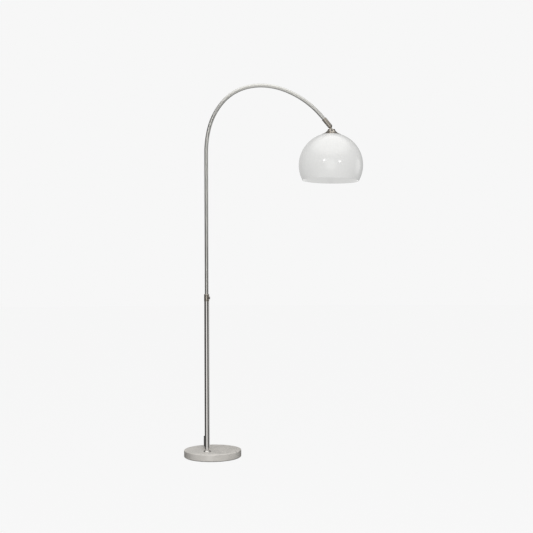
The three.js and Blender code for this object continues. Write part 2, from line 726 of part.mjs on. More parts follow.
function buildCord(lamp) {
  const run = (name, points, steps) => {
    const path = new THREE.CatmullRomCurve3(points.map((p) => new THREE.Vector3(...p)));
    place(lamp, name, sweep(circle(cordRadius), path, steps, 5), 'black');
  };
  run('cord_lamp', lampRoute, 30);
  run('cord_feed', feedRoute, 24);
  run('cord_tail', tailRoute, 5);

  const halfWidth = coilTurnsAcross * cordRadius;
  const low = tieThickness + 2 * gap;
  const high = low + coilLayers * 2 * cordRadius;
  const soft = 2.5;
  const [inner, outer] = [coilMeanRadius - halfWidth, coilMeanRadius + halfWidth];
  place(lamp, 'cord_coil', lathe([
    ...arcProfile([outer - soft, low + soft], soft, -90, 0, 2),
    ...arcProfile([outer - soft, high - soft], soft, 0, 90, 2),
    ...arcProfile([inner + soft, high - soft], soft, 90, 180, 2),
    ...arcProfile([inner + soft, low + soft], soft, 180, 270, 2),
    [outer - soft, low],
  ], 28), 'black', [...coilCentre, 0]);

  const bow = inner - Math.sqrt(inner ** 2 - (tieWidth / 2) ** 2);   // the turns curve inside the tie
  const tieInside = [2 * (halfWidth + gap + bow), high - low + 2 * gap];
  const tie = cut(
    new THREE.BoxGeometry(tieInside[0] + 2 * tieThickness, tieWidth, tieInside[1] + 2 * tieThickness),
    new THREE.BoxGeometry(tieInside[0], tieWidth + 2, tieInside[1]),
  );
  const tieAngle = radians(200);
  place(lamp, 'cord_tie', tie, 'black', [
    coilCentre[0] + coilMeanRadius * Math.cos(tieAngle),
    coilCentre[1] + coilMeanRadius * Math.sin(tieAngle),
    (low + high) / 2,
  ], [0, 0, tieAngle]);
}

function smallRelief(start, length) {
  // a short tapered sleeve that the cord's end meets, its axis along +Z
  return lathe([
    [0, start], [cordBore + 2, start], [cordBore + 1.7, start + 4], [cordBore + 0.7, start + length],
    [0, start + length],
  ]);
}

function buildSwitch(lamp) {
  const group = new THREE.Group();
  group.position.set(switchCentre[0], switchCentre[1], 0);
  lamp.add(group);
  const half = (switchLength - switchWidth) / 2;
  const outline = (inset) => stadium([-half, 0], [half, 0], switchWidth / 2 - inset);
  const coverBottom = switchBaseHeight + gap;
  place(group, 'switch_base', join(slab(outline(1), 0, 3), slab(outline(0), 1, switchBaseHeight)), 'black');

  const lid = switchHeight - switchWall;
  const shell = join(slab(outline(0), coverBottom, lid), slab(outline(1.2), coverBottom, switchHeight));
  const room = slab(outline(switchWall), coverBottom - 1, lid - 0.5);
  const opening = rod(buttonRadius + gap, coverBottom, switchHeight + 1, 40);
  place(group, 'switch_cover', cut(shell, room, opening), 'black');

  const flangeTop = lid - 0.5 - gap;
  const flangeBottom = coverBottom + buttonTravel + 2 * gap;
  const crown = switchHeight + buttonStand;
  place(group, 'switch_button', lathe([
    [0, flangeBottom], [buttonRadius + 1.8, flangeBottom], [buttonRadius + 1.8, flangeTop],
    [buttonRadius, flangeTop], [buttonRadius, crown - 1], [buttonRadius - 1, crown],
    ...arcProfile([0, crown + 20], 20.8, -60, -90, 4).map(([r, z]) => [r, Math.min(z, crown)]),
  ].filter(([r, z], i, all) => i === 0 || r !== all[i - 1][0] || z !== all[i - 1][1]), 28), 'black');

  for (const [side, name] of [[-1, 'switch_relief_in'], [1, 'switch_relief_out']]) {
    const relief = smallRelief(switchLength / 2 + gap, switchReliefLength - gap).rotateY(side * Math.PI / 2);
    place(group, name, relief, 'rubber', [0, 0, leadHeight]);
  }
}

function buildPlug(lamp) {
  const group = new THREE.Group();
  group.position.set(plugFront[0], plugFront[1], leadHeight);
  lamp.add(group);
  const half = plugWidth / 2;
  const outline = new THREE.Shape();
  outline.moveTo(0, -half);
  outline.lineTo(0, half);
  outline.lineTo(-plugLength * 0.55, half);
  outline.quadraticCurveTo(-plugLength * 0.85, half, -plugLength, half * 0.45);
  outline.lineTo(-plugLength, -half * 0.45);
  outline.quadraticCurveTo(-plugLength * 0.85, -half, -plugLength * 0.55, -half);
  place(group, 'plug_body', slab(outline, -leadHeight, plugThickness - leadHeight, 8), 'black');

  const relief = smallRelief(plugLength + gap, plugReliefLength - gap).rotateY(-Math.PI / 2);
  place(group, 'plug_relief', relief, 'rubber');

  for (const [side, name] of [[1, 'plug_pin_upper'], [-1, 'plug_pin_lower']]) {
    const pin = lathe([
      [0, gap], [plugPinRadius, gap], [plugPinRadius, pinLength - 1.5], [plugPinRadius - 1, pinLength],
      [0, pinLength],
    ], 20).rotateY(Math.PI / 2);
    place(group, name, pin, 'steel', [0, (side * plugPinSpacing) / 2, 0]);
  }
}

// ---------------------------------------------------------------- the lamp

const lamp = new THREE.Group();
buildFoot(lamp);
buildPole(lamp);
buildArc(lamp);
buildShade(lamp);
buildCord(lamp);
buildSwitch(lamp);
buildPlug(lamp);

export default lamp;
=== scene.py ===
"""Arc floor lamp: marble foot, upright tube, sliding arc tube and an opal globe on a tilting joint.

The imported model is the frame, in metres. Each operator builds one piece or one group of like pieces
over that frame, rides it on its body and gives it its finish.
"""

import math

import bmesh
import bpy
from bpy.props import FloatProperty, FloatVectorProperty, IntProperty, PointerProperty
from mathutils import Matrix, Vector


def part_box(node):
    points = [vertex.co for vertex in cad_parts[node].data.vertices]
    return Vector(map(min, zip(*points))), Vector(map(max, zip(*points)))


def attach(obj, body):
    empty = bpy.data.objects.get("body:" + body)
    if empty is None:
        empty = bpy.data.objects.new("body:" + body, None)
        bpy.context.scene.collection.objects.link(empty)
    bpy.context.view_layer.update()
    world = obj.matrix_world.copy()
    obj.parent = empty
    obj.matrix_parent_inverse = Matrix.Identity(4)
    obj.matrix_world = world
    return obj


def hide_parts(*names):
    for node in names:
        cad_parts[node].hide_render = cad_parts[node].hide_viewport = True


bl_info = {
    "name": "Arc floor lamp",
    "version": (1, 0, 0),
    "blender": (4, 5, 0),
    "location": "View3D > Sidebar > Arc Lamp",
    "description": "Builds the visible pieces of an arc floor lamp over its packed model",
    "category": "Object",
}

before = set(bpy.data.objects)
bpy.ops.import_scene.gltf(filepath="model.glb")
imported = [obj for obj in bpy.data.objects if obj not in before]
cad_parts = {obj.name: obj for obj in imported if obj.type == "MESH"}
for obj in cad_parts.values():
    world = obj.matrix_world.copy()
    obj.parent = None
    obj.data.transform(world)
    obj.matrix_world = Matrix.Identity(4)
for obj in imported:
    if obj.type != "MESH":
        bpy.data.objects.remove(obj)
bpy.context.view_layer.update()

MM = 0.001


# ---------------------------------------------------------------- places read from the frame


def middle(node):
    """Centre of a CAD node's box, in millimetres."""
    low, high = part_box(node)
    return (low + high) / 2 / MM


def low_of(node, axis):
    """Lowest coordinate of a CAD node along one axis, in millimetres."""
    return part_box(node)[0][axis] / MM


def high_of(node, axis):
    """Highest coordinate of a CAD node along one axis, in millimetres."""
    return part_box(node)[1][axis] / MM


POLE_X = middle("lower_pole").x
POLE_Y = middle("lower_pole").y
POLE_RADIUS = (high_of("lower_pole", 1) - low_of("lower_pole", 1)) / 2
MARBLE_TOP = high_of("marble_base", 2)
POLE_TOP = high_of("lower_pole", 2) - 10
HINGE = Vector((middle("hinge_screw").x, POLE_Y, middle("hinge_screw").z))
SHADE_TILT = math.radians(1.3)
RELIEF_HEIGHT = middle("cord_relief").z
RELIEF_TURN = math.radians(115)

# circular bends of the arc in order from the upright: radius in millimetres, turn in degrees
ARC_BENDS = ((520, 15), (330, 25), (245, 35), (302, 22), (375, 15), (468, 25), (700, 3.5))
ARC_BEND_START = POLE_TOP + 774
ARC_LOW = POLE_TOP - 250
ARC_TAIL = 35
SLEEVE_TIP = 64
PIN_DROP = 17.4
SCREW_HEAD_RADIUS = 7.45
PIN_HOLE_RADIUS = 3.15

# below the hinge axis, on the shade's own axis: the globe's crown, and the plane of the gasket's rim
GLOBE_CROWN = 10.8
GASKET_RADIUS = 28
GASKET_GAP = 0.9
GASKET_THICK = 1.5
WASHER_DROP = 1.8
WASHER_THICK = 2.2
NUT_THICK = 5
HOLDER_DROP = 3
PIECE_GAP = 0.3

LAMP_LEAD_ROUTE = (
    (-35.9, -42.6, 111), (-38.4, -37.2, 111), (-40.13, -33.55, 111), (-42.4, -24, 110.4),
    (-42.8, -10, 106.8), (-43.8, 6, 99.5), (-45.2, 22, 88.8), (-46.4, 38, 76), (-47.4, 54, 63.6),
    (-48.4, 70, 53.4), (-49.3, 86, 46.2), (-49.8, 102, 42.6), (-49.6, 117, 41.8), (-48.4, 130, 41.8),
    (-45.6, 141, 41.4), (-42.4, 149.6, 38.6), (-38, 157.4, 31.6), (-33.6, 165, 21.6), (-29.2, 172.4, 12),
    (-24.8, 179.6, 6.2), (-19.6, 186.2, 3.9), (-13.4, 192.4, 4), (-6, 197, 5.2), (-1.5, 198.7, 6.2),
    (3.5, 199, 6.6), (8, 199, 6.6),
)
FEED_ROUTE = (
    (88, 199, 6.6), (92.5, 199, 6.6), (97, 199.4, 6.2), (104.4, 202.2, 5), (112, 207.4, 3.9),
    (118.6, 214.6, 3.45), (122.6, 223.4, 3.45), (123.8, 233.4, 3.45), (121.4, 244.4, 3.45),
    (115, 254.6, 3.45), (105, 262.6, 3.45), (92, 267.6, 3.45), (76, 269.6, 3.45), (58, 269.4, 3.45),
    (38, 267, 3.45), (18, 263.4, 3.45), (-2, 259.4, 3.45), (-20, 255.6, 3.75), (-36, 252.2, 4.15),
    (-49, 249.6, 4.45), (-62, 248.2, 4.62),
)
TAIL_ROUTE = (
    (-31.4, 213.6, 10.8), (-28.2, 221.6, 10.2), (-25, 226.4, 9.4), (-20, 231, 8.4), (-13.6, 233.9, 7.6),
    (-5, 235, 7), (1.5, 235, 6.6), (6, 235, 6.6),
)
COIL_CENTRE = (-75, 205)
COIL_RADII = (29.5, 36, 42.5)
COIL_LAYERS = (4.65, 11.15)
LEAD_HEIGHT = 6.6


# ---------------------------------------------------------------- what a user would change


def length_setting(label, text, value):
    """A length in metres with its name and description."""
    return FloatProperty(
        name=label, description=text, default=value, min=0, unit="LENGTH", subtype="DISTANCE"
    )


def colour_setting(label, text, value):
    """A linear colour with its name and description."""
    return FloatVectorProperty(
        name=label, description=text, default=value, size=3, min=0, max=1, subtype="COLOR"
    )


def share_setting(label, text, value):
    """A share from 0 to 1 with its name and description."""
    return FloatProperty(name=label, description=text, default=value, min=0, max=1, subtype="FACTOR")


class FootSettings(bpy.types.PropertyGroup):
    """Sizes and colours of the marble foot"""

    radius: length_setting("Radius", "Radius of the marble disc", high_of("marble_base", 0) * MM)
    edge: length_setting("Eased edge", "Rounding of the disc's upper and lower edge", 0.004)
    colour: colour_setting("Marble", "Ground colour of the marble", (0.545, 0.525, 0.495))
    cloud: colour_setting("Cloud", "Darker clouds in the marble", (0.455, 0.438, 0.412))
    vein: colour_setting("Vein", "Colour of the thin veins", (0.36, 0.345, 0.325))
    polish: share_setting("Roughness", "Roughness of the polished marble", 0.26)


class TubeSettings(bpy.types.PropertyGroup):
    """Sizes and colours of the two tubes"""

    pole_radius: length_setting("Pole radius", "Outer radius of the lower pole", POLE_RADIUS * MM)
    arc_radius: length_setting("Arc radius", "Outer radius of the arc tube", 0.0095)
    wall: length_setting("Wall", "Wall of the arc tube", 0.0012)
    chrome: colour_setting("Chrome", "Colour of the polished lower pole", (0.70, 0.685, 0.665))
    satin: colour_setting("Satin tube", "Colour of the fine-brushed arc tube", (0.66, 0.655, 0.625))
    nickel: colour_setting("Nickel", "Colour of the satin nickel fittings", (0.46, 0.425, 0.375))
    sides: IntProperty(name="Sides", description="Facets round a tube", default=56, min=12, max=128)


class ShadeSettings(bpy.types.PropertyGroup):
    """Sizes and colours of the globe and its lampholder"""

    radius: length_setting("Radius", "Outer radius of the opal globe", 0.167)
    wall: length_setting("Wall", "Wall of the globe", 0.003)
    rim_drop: length_setting("Rim drop", "From the globe's centre down to its rim", 0.08)
    # kept dark: a painted glow in the opal finish gives the rest of the globe's brightness
    opal: colour_setting("Opal", "Colour of the opal acrylic", (0.2, 0.2, 0.197))
    bulb: colour_setting("Bulb", "Colour of the frosted bulb", (0.85, 0.84, 0.81))


class LeadSettings(bpy.types.PropertyGroup):
    """Sizes and colours of the mains lead, its switch and its plug"""

    diameter: length_setting("Diameter", "Outer diameter of the lead", 0.0065)
    jacket: colour_setting("Jacket", "Colour of the lead's jacket", (0.016, 0.016, 0.017))
    plastic: colour_setting("Plastic", "Colour of the switch and the plug", (0.02, 0.02, 0.021))
    relief_rings: IntProperty(
        name="Relief rings", description="Grooves along a strain relief", default=5, min=0, max=12
    )


class StageSettings(bpy.types.PropertyGroup):
    """The camera, the floor and the light"""

    distance: length_setting("Distance", "From the camera to the lamp's middle plane", 4.85)
    height: length_setting("Height", "Height of the camera above the floor", 0.925)
    across: length_setting("Across", "Place of the camera along the arc's plane", 0.287)
    focal_length: FloatProperty(
        name="Focal length", description="Focal length in millimetres", default=62.1, min=10, max=300
    )
    pitch: FloatProperty(
        name="Pitch", description="Tilt of the camera above the horizon", default=math.radians(0.875),
        subtype="ANGLE",
    )
    roll: FloatProperty(
        name="Roll", description="Turn of the camera about its own axis", default=math.radians(-0.25),
        subtype="ANGLE",
    )
    paper: FloatProperty(
        name="Paper", description="Brightness of the floor and the backdrop", default=0.93, min=0, max=2
    )


# ---------------------------------------------------------------- mesh work

# in degrees: the sharpest edge that still shades smoothly, and the bend between two stations of the arc
SMOOTH_ANGLE = 34
ARC_STEP = 1.4


def shade_smooth(mesh):
    """Smooth shading everywhere except across real edges."""
    work = bmesh.new()
    work.from_mesh(mesh)
    limit = math.radians(SMOOTH_ANGLE)
    for face in work.faces:
        face.smooth = True
    for edge in work.edges:
        edge.smooth = edge.is_manifold and edge.calc_face_angle(0) < limit
    work.to_mesh(mesh)
    work.free()


def linked(name, data):
    """A new object that is linked to the scene."""
    made = bpy.data.objects.new(name, data)
    bpy.context.scene.collection.objects.link(made)
    return made


def new_piece(name, work, place):
    """A linked object from a bmesh in millimetres, put in its place in the frame."""
    bmesh.ops.remove_doubles(work, verts=work.verts, dist=1e-4)
    bmesh.ops.recalc_face_normals(work, faces=work.faces)
    bmesh.ops.scale(work, verts=work.verts, vec=(MM, MM, MM))
    mesh = bpy.data.meshes.new(name)
    work.to_mesh(mesh)
    work.free()
    shade_smooth(mesh)
    piece = linked(name, mesh)
    piece.matrix_world = place
    return piece


def at(x, y, z, turn=None):
    """A placement in the frame from millimetres and an optional rotation."""
    shift = Matrix.Translation(Vector((x, y, z)) * MM)
    return shift @ turn if turn is not None else shift


def about(axis, angle):
    """A rotation about a main axis, in radians."""
    return Matrix.Rotation(angle, 4, axis)


def eased(profile, radius, steps=4, loop=True):
    """The profile with its corners rounded, as far as the sides beside them allow."""
    rounded = []
    count = len(profile)
    for i, corner in enumerate(profile):
        here = Vector(corner)
        back = Vector(profile[i - 1]) - here
        on = Vector(profile[(i + 1) % count]) - here
        end = not loop and i in (0, count - 1)
        if end or here.x < 1e-6 or back.length < 1e-6 or on.length < 1e-6:
            rounded.append(tuple(here))
            continue
        if back.angle(on) > math.radians(158):
            rounded.append(tuple(here))
            continue
        reach = min(radius, back.length * 0.45, on.length * 0.45)
        start = here + back.normalized() * reach
        stop = here + on.normalized() * reach
        for k in range(steps + 1):
            t = k / steps
            rounded.append(tuple(start * (1 - t) ** 2 + here * (2 * t * (1 - t)) + stop * t**2))
    return rounded


def arc_points(centre, radius, start, stop, steps):
    """Profile points on a circle, with angles in degrees from the outward direction."""
    points = []
    for i in range(steps + 1):
        angle = math.radians(start + (stop - start) * i / steps)
        points.append((centre[0] + radius * math.cos(angle), centre[1] + radius * math.sin(angle)))
    return points


def hollowed(start, stop, sag, steps):
    """A shallow parabola between two profile points."""
    a, b = Vector(start), Vector(stop)
    along = b - a
    side = Vector((along.y, -along.x)).normalized()
    points = []
    for i in range(steps + 1):
        t = i / steps
        points.append(tuple(a + along * t + side * (4 * sag * t * (1 - t))))
    return points


def circle_ring(work, radius, height, segments):
    """A level ring of corners about the Z axis."""
    ring = []
    for j in range(segments):
        angle = 2 * math.pi * j / segments
        ring.append(work.verts.new((radius * math.cos(angle), radius * math.sin(angle), height)))
    return ring


def skinned(work, rings):
    """Joins each ring of corners to the next one with faces."""
    for low, high in zip(rings, rings[1:]):
        for j in range(len(low)):
            k = (j + 1) % len(low)
            work.faces.new((low[j], low[k], high[k], high[j]))


def closed_body(work, rings):
    """Joins the rings of corners from the bottom to the top, and closes both ends."""
    skinned(work, rings)
    work.faces.new(rings[0][::-1])
    work.faces.new(rings[-1])


def turned(name, profile, segments, place, loop=True):
    """A lathe-turned piece about its own Z axis from (radius, height) points in millimetres."""
    work = bmesh.new()
    layer = work.loops.layers.uv.new("along")
    rings = []
    travel = [0]
    for i, (radius, height) in enumerate(profile):
        if radius < 1e-6:
            rings.append([work.verts.new((0, 0, height))])
        else:
            rings.append(circle_ring(work, radius, height, segments))
        if i:
            travel.append(travel[-1] + (Vector(profile[i]) - Vector(profile[i - 1])).length)
    pairs = [(i, i + 1) for i in range(len(profile) - 1)]
    if loop:
        pairs.append((len(profile) - 1, 0))
    for low, high in pairs:
        a, b = rings[low], rings[high]
        if len(a) == 1 and len(b) == 1:
            continue
        for j in range(segments):
            k = (j + 1) % segments
            corners = [
                (a[j % len(a)], j, travel[low]),
                (a[k % len(a)], j + 1, travel[low]),
                (b[k % len(b)], j + 1, travel[high]),
                (b[j % len(b)], j, travel[high]),
            ]
            seen = []
            for corner in corners:
                if corner[0] not in [c[0] for c in seen]:
                    seen.append(corner)
            if len(seen) < 3:
                continue
            face = work.faces.new([c[0] for c in seen])
            for turn, corner in zip(face.loops, seen):
                turn[layer].uv = (corner[1] / segments, corner[2] * MM)
    return new_piece(name, work, place)


def drill(name, radius, low, high, segments, place):
    """A solid round cutter between two heights."""
    profile = [(0, low), (radius, low), (radius, high), (0, high)]
    return turned(name, profile, segments, place, loop=False)


def hexagon(radius):
    """Corners of a nut's outline."""
    return arc_points((0, 0), radius, 0, 300, 5)


def swept_tube(name, stations, outer, inner, sides, place):
    """A hollow tube along stations (x, z, heading) in the upright plane of the arc."""
    work = bmesh.new()
    layer = work.loops.layers.uv.new("along")
    travel = [0.0]
    for a, b in zip(stations, stations[1:]):
        travel.append(travel[-1] + math.hypot(b[0] - a[0], b[1] - a[1]))
    shells = []
    for radius in (outer, inner):
        rings = []
        for x, z, heading in stations:
            ring = []
            for j in range(sides):
                angle = 2 * math.pi * j / sides
                out = radius * math.cos(angle)
                along, up = x + out * math.sin(heading), z - out * math.cos(heading)
                ring.append(work.verts.new((along, radius * math.sin(angle), up)))
            rings.append(ring)
        shells.append(rings)
        for i in range(len(rings) - 1):
            for j in range(sides):
                k = (j + 1) % sides
                face = work.faces.new((rings[i][j], rings[i][k], rings[i + 1][k], rings[i + 1][j]))
                uvs = ((j, i), (j + 1, i), (j + 1, i + 1), (j, i + 1))
                for turn, (u, v) in zip(face.loops, uvs):
                    turn[layer].uv = (u / sides, travel[v] * MM)
    for end in (0, -1):
        skinned(work, (shells[0][end], shells[1][end]))
    return new_piece(name, work, place)


def strap_outline(start, stop, radius, steps):
    """A function that gives the outline of a strap with round ends, drawn in by an inset."""
    heading = math.atan2(stop[1] - start[1], stop[0] - start[0])

    def outline(inset):
        points = []
        reach = radius - inset
        for centre, first in ((stop, heading - math.pi / 2), (start, heading + math.pi / 2)):
            for i in range(steps + 1):
                angle = first + math.pi * i / steps
                points.append((centre[0] + reach * math.cos(angle), centre[1] + reach * math.sin(angle)))
        return points

    return outline


def drawn_in(points):
    """A function that gives a closed outline drawn in along its corners' normals by an inset."""

    def outline(inset):
        moved = []
        count = len(points)
        for i, point in enumerate(points):
            here = Vector(point)
            back = (here - Vector(points[i - 1])).normalized()
            on = (Vector(points[(i + 1) % count]) - here).normalized()
            normal = Vector((back.y + on.y, -back.x - on.x)).normalized()
            stretch = 1 / max(0.5, normal.dot(Vector((on.y, -on.x))))
            moved.append(tuple(here - normal * inset * stretch))
        return moved

    return outline


def stacked(name, outline, layers, place):
    """A body of stacked outlines, with layers as (inset, height) from the bottom to the top."""
    work = bmesh.new()
    rings = []
    for inset, height in layers:
        rings.append([work.verts.new((x, y, height)) for x, y in outline(inset)])
    closed_body(work, rings)
    return new_piece(name, work, place)


def round_edge_layers(low, high, radius, steps):
    """Layers of a slab whose lower and upper edges are rounded."""
    layers = []
    for i in range(steps + 1):
        angle = math.pi / 2 * i / steps
        layers.append((radius * (1 - math.sin(angle)), low + radius * (1 - math.cos(angle))))
    for i in range(steps + 1):
        angle = math.pi / 2 * i / steps
        layers.append((radius * (1 - math.cos(angle)), high - radius * (1 - math.sin(angle))))
    return layers


def carved(piece, *cutters):
    """Cuts other pieces out of this one for good and takes them away."""
    for cutter in cutters:
        modifier = piece.modifiers.new("cut", "BOOLEAN")
        modifier.operation = "DIFFERENCE"
        modifier.solver = "EXACT"
        modifier.object = cutter
    bpy.context.view_layer.update()
    graph = bpy.context.evaluated_depsgraph_get()
    mesh = bpy.data.meshes.new_from_object(piece.evaluated_get(graph))
    piece.modifiers.clear()
    old = piece.data
    piece.data = mesh
    bpy.data.meshes.remove(old)
    mesh.name = piece.name
    for cutter in cutters:
        bpy.data.objects.remove(cutter)
    if len(mesh.polygons) < 8:
        raise RuntimeError(f"nothing is left of {piece.name} after its cuts")
    shade_smooth(mesh)
    return piece


def lead_curve(name, points, radius):
    """A smooth round lead through points in millimetres, as a curve of one open spline."""
    data = bpy.data.curves.new(name, "CURVE")
    data.dimensions = "3D"
    data.resolution_u = 6
    data.bevel_depth = radius
    data.bevel_resolution = 5
    data.use_fill_caps = True
    spline = data.splines.new("BEZIER")
    spline.bezier_points.add(len(points) - 1)
    for knot, point in zip(spline.bezier_points, points):
        knot.co = Vector(point) * MM
        knot.handle_left_type = "AUTO"
        knot.handle_right_type = "AUTO"
    return linked(name, data)


def finished(piece, body, slot, finish, *nodes):
    """Gives the piece its finish, and rides it on its body in place of its nodes."""
    piece.data.materials.clear()
    piece.data.materials.append(FINISHES[finish]())
    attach(piece, body)
    if nodes:
        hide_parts(*nodes)
    return piece


def refinished(node, finish):
    """Gives a carried-over CAD node a procedural finish."""
    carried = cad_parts[node]
    material = FINISHES[finish]()
    if not carried.material_slots:
        carried.data.materials.append(material)
    for place in carried.material_slots:
        place.material = material


# ---------------------------------------------------------------- finishes


class Finish:
    """A node material with one principled shader, and short ways to add to it."""

    def __init__(self, name, **sockets):
        self.material = bpy.data.materials.new(name)
        self.material.use_nodes = True
        self.tree = self.material.node_tree
        self.tree.nodes.clear()
        self.shader = self.tree.nodes.new("ShaderNodeBsdfPrincipled")
        self.output = self.tree.nodes.new("ShaderNodeOutputMaterial")
        self.tree.links.new(self.shader.outputs["BSDF"], self.output.inputs["Surface"])
        for socket, value in sockets.items():
            self.shader.inputs[socket.replace("_", " ")].default_value = value

    def node(self, kind, **values):
        """A new node with its inputs set by name."""
        made = self.tree.nodes.new(kind)
        for socket, value in values.items():
            made.inputs[socket.replace("_", " ")].default_value = value
        return made

    def link(self, source, target):
        """Joins an output socket to an input socket."""
        self.tree.links.new(source, target)

    def coordinates(self, stretch=(1, 1, 1), lathe=False):
        """Coordinates of the piece itself, or the ones laid along a turned or swept piece."""
        if lathe:
            source = self.node("ShaderNodeUVMap")
            source.uv_map = "along"
            output = source.outputs["UV"]
        else:
            output = self.node("ShaderNodeTexCoord").outputs["Object"]
        mapping = self.node("ShaderNodeMapping", Scale=stretch)
        self.link(output, mapping.inputs["Vector"])
        return mapping.outputs["Vector"]

    def noise(self, vector, scale, detail, roughness=0.5, distortion=0.0):
        """A noise texture's factor."""
        made = self.node(
            "ShaderNodeTexNoise", Scale=scale, Detail=detail, Roughness=roughness, Distortion=distortion
        )
        self.link(vector, made.inputs["Vector"])
        return made.outputs["Fac"]

    def ramp(self, factor, stops):
        """A colour ramp through (position, colour) stops."""
        made = self.node("ShaderNodeValToRGB")
        while len(made.color_ramp.elements) < len(stops):
            made.color_ramp.elements.new(0.5)
        for element, (position, colour) in zip(made.color_ramp.elements, stops):
            element.position = position
            element.color = (*colour, 1)
        self.link(factor, made.inputs["Fac"])
        return made.outputs["Color"]

    def rough(self, factor, low, high):
        """Drives the roughness by the middle part of a factor's range."""
        made = self.node("ShaderNodeMapRange", From_Min=0.3, From_Max=0.7, To_Min=low, To_Max=high)
        self.link(factor, made.inputs["Value"])
        self.link(made.outputs["Result"], self.shader.inputs["Roughness"])

    def colour(self, output):
        """Drives the base colour."""
        self.link(output, self.shader.inputs["Base Color"])

    def bump(self, height, strength, distance):
        """Adds a bump to the surface."""
        made = self.node("ShaderNodeBump", Strength=strength, Distance=distance)
        self.link(height, made.inputs["Height"])
        self.link(made.outputs["Normal"], self.shader.inputs["Normal"])


def tinted(colour, amount):
    """A colour made lighter or darker by a share."""
    return tuple(min(1, channel * amount) for channel in colour)


def marble_finish():
    """Polished pale grey marble with soft clouds and a few thin veins."""
    foot = bpy.context.scene.arc_lamp_foot
    base, cloud, vein = tuple(foot.colour), tuple(foot.cloud), tuple(foot.vein)
    made = Finish("marble", Specular_IOR_Level=0.5)
    vector = made.coordinates()
    clouds = made.noise(vector, 7, 6, 0.6, 0.9)
    ground = made.ramp(clouds, ((0.3, cloud), (0.52, base), (0.75, tinted(base, 1.1))))
    warp = made.noise(vector, 5, 5, 0.62, 1.6)
    widths = ((0.45, 0), (0.492, 0.55), (0.5, 1), (0.51, 0.3), (0.56, 0))
    streaks = made.ramp(warp, [(place, (grey, grey, grey)) for place, grey in widths])
    patch = made.ramp(made.noise(vector, 11, 2), ((0.42, (0, 0, 0)), (0.68, (0.75, 0.75, 0.75))))
    both = made.node("ShaderNodeMath")
    both.operation = "MULTIPLY"
    made.link(streaks, both.inputs[0])
    made.link(patch, both.inputs[1])
    blend = made.node("ShaderNodeMix")
    blend.data_type = "RGBA"
    colour_inputs = [s for s in blend.inputs if s.type == "RGBA"]
    colour_inputs[1].default_value = (*vein, 1)
    made.link(both.outputs[0], blend.inputs[0])
    made.link(ground, colour_inputs[0])
    made.colour([s for s in blend.outputs if s.type == "RGBA"][0])
    fine = made.noise(vector, 260, 3)
    made.rough(fine, foot.polish - 0.04, foot.polish + 0.06)
    made.bump(fine, 0.05, 0.0002)
    return made.material


def chrome_finish():
    """Polished tube with the faint haze of handling."""
    made = Finish("polished_chrome", Metallic=1.0)
    colour = tuple(bpy.context.scene.arc_lamp_tube.chrome)
    vector = made.coordinates((1, 1, 0.3))
    haze = made.noise(vector, 30, 4, 0.6)
    made.colour(made.ramp(haze, ((0.3, tinted(colour, 0.97)), (0.7, tinted(colour, 1.02)))))
    made.rough(haze, 0.09, 0.15)
    lines = made.noise(made.coordinates((6, 6, 260)), 6, 2)
    made.bump(lines, 0.03, 0.00005)
    return made.material


def brushed(name, colour, low, high, stretch, strength):
    """Metal with a fine grain that runs round or along a turned piece."""
    made = Finish(name, Metallic=1.0)
    vector = made.coordinates(stretch, lathe=True)
    grain = made.noise(vector, 1, 4, 0.65)
    wide = made.noise(made.coordinates(), 16, 3)
    made.colour(made.ramp(wide, ((0.3, tinted(colour, 0.96)), (0.7, tinted(colour, 1.03)))))
    made.rough(grain, low, high)
    made.bump(grain, strength, 0.0001)
    return made.material


def satin_tube_finish():
    """Satin tube brushed along its length."""
    colour = tuple(bpy.context.scene.arc_lamp_tube.satin)
    return brushed("satin_tube", colour, 0.30, 0.37, (420, 14, 1), 0.04)


def nickel_finish():
    """Warm satin nickel, turned with fine rings."""
    colour = tuple(bpy.context.scene.arc_lamp_tube.nickel)
    return brushed("satin_nickel", colour, 0.26, 0.36, (8, 3600, 1), 0.10)


def opal_finish():
    """Glossy opal acrylic. About half its brightness is a painted glow that it gives off by itself,
    standing in for light through its wall, so the globe looks evenly lit.
    """
    colour = tuple(bpy.context.scene.arc_lamp_shade.opal)
    # the emission is a painted glow: the shade is unlit, and the glow stands in for light passing
    # through the opal wall
    made = Finish(
        "opal_with_painted_glow", Specular_IOR_Level=0.4, Coat_Weight=0.5, Coat_Roughness=0.04,
        Subsurface_Weight=0.15, Subsurface_Scale=0.004, Emission_Strength=0.53,
    )
    made.shader.inputs["Subsurface Radius"].default_value = (1.0, 0.97, 0.94)
    # colour of the painted glow
    made.shader.inputs["Emission Color"].default_value = (0.978, 0.98, 0.968, 1)
    vector = made.coordinates()
    cloud = made.noise(vector, 9, 3, 0.5, 0.4)
    made.colour(made.ramp(cloud, ((0.3, tinted(colour, 0.985)), (0.7, tinted(colour, 1.01)))))
    fine = made.noise(vector, 90, 3)
    made.rough(fine, 0.16, 0.2)
    made.bump(made.noise(vector, 24, 2), 0.02, 0.0004)
    return made.material


def bulb_finish():
    """Frosted glass bulb."""
    colour = tuple(bpy.context.scene.arc_lamp_shade.bulb)
    made = Finish("frosted_bulb", Specular_IOR_Level=0.5, Subsurface_Weight=0.2, Subsurface_Scale=0.005)
    vector = made.coordinates()
    frost = made.noise(vector, 700, 3)
    made.colour(made.ramp(made.noise(vector, 30, 3), ((0.3, tinted(colour, 0.98)), (0.7, colour))))
    made.rough(frost, 0.32, 0.44)
    made.bump(frost, 0.06, 0.0001)
    return made.material


def moulded(name, colour, low, high, scale, strength, **sockets):
    """A moulded plastic or rubber with a fine spark-eroded grain."""
    made = Finish(name, **sockets)
    vector = made.coordinates()
    grain = made.noise(vector, scale, 4, 0.6)
    broad = made.noise(vector, scale / 26, 3)
    made.colour(made.ramp(broad, ((0.3, tinted(colour, 0.85)), (0.7, tinted(colour, 1.2)))))
    made.rough(grain, low, high)
    made.bump(grain, strength, 0.0002)
    return made.material


def plastic_finish():
    """Black moulded plastic of the switch, the plug and the lampholder."""
    colour = tuple(bpy.context.scene.arc_lamp_lead.plastic)
    return moulded("black_plastic", colour, 0.38, 0.5, 1600, 0.18)


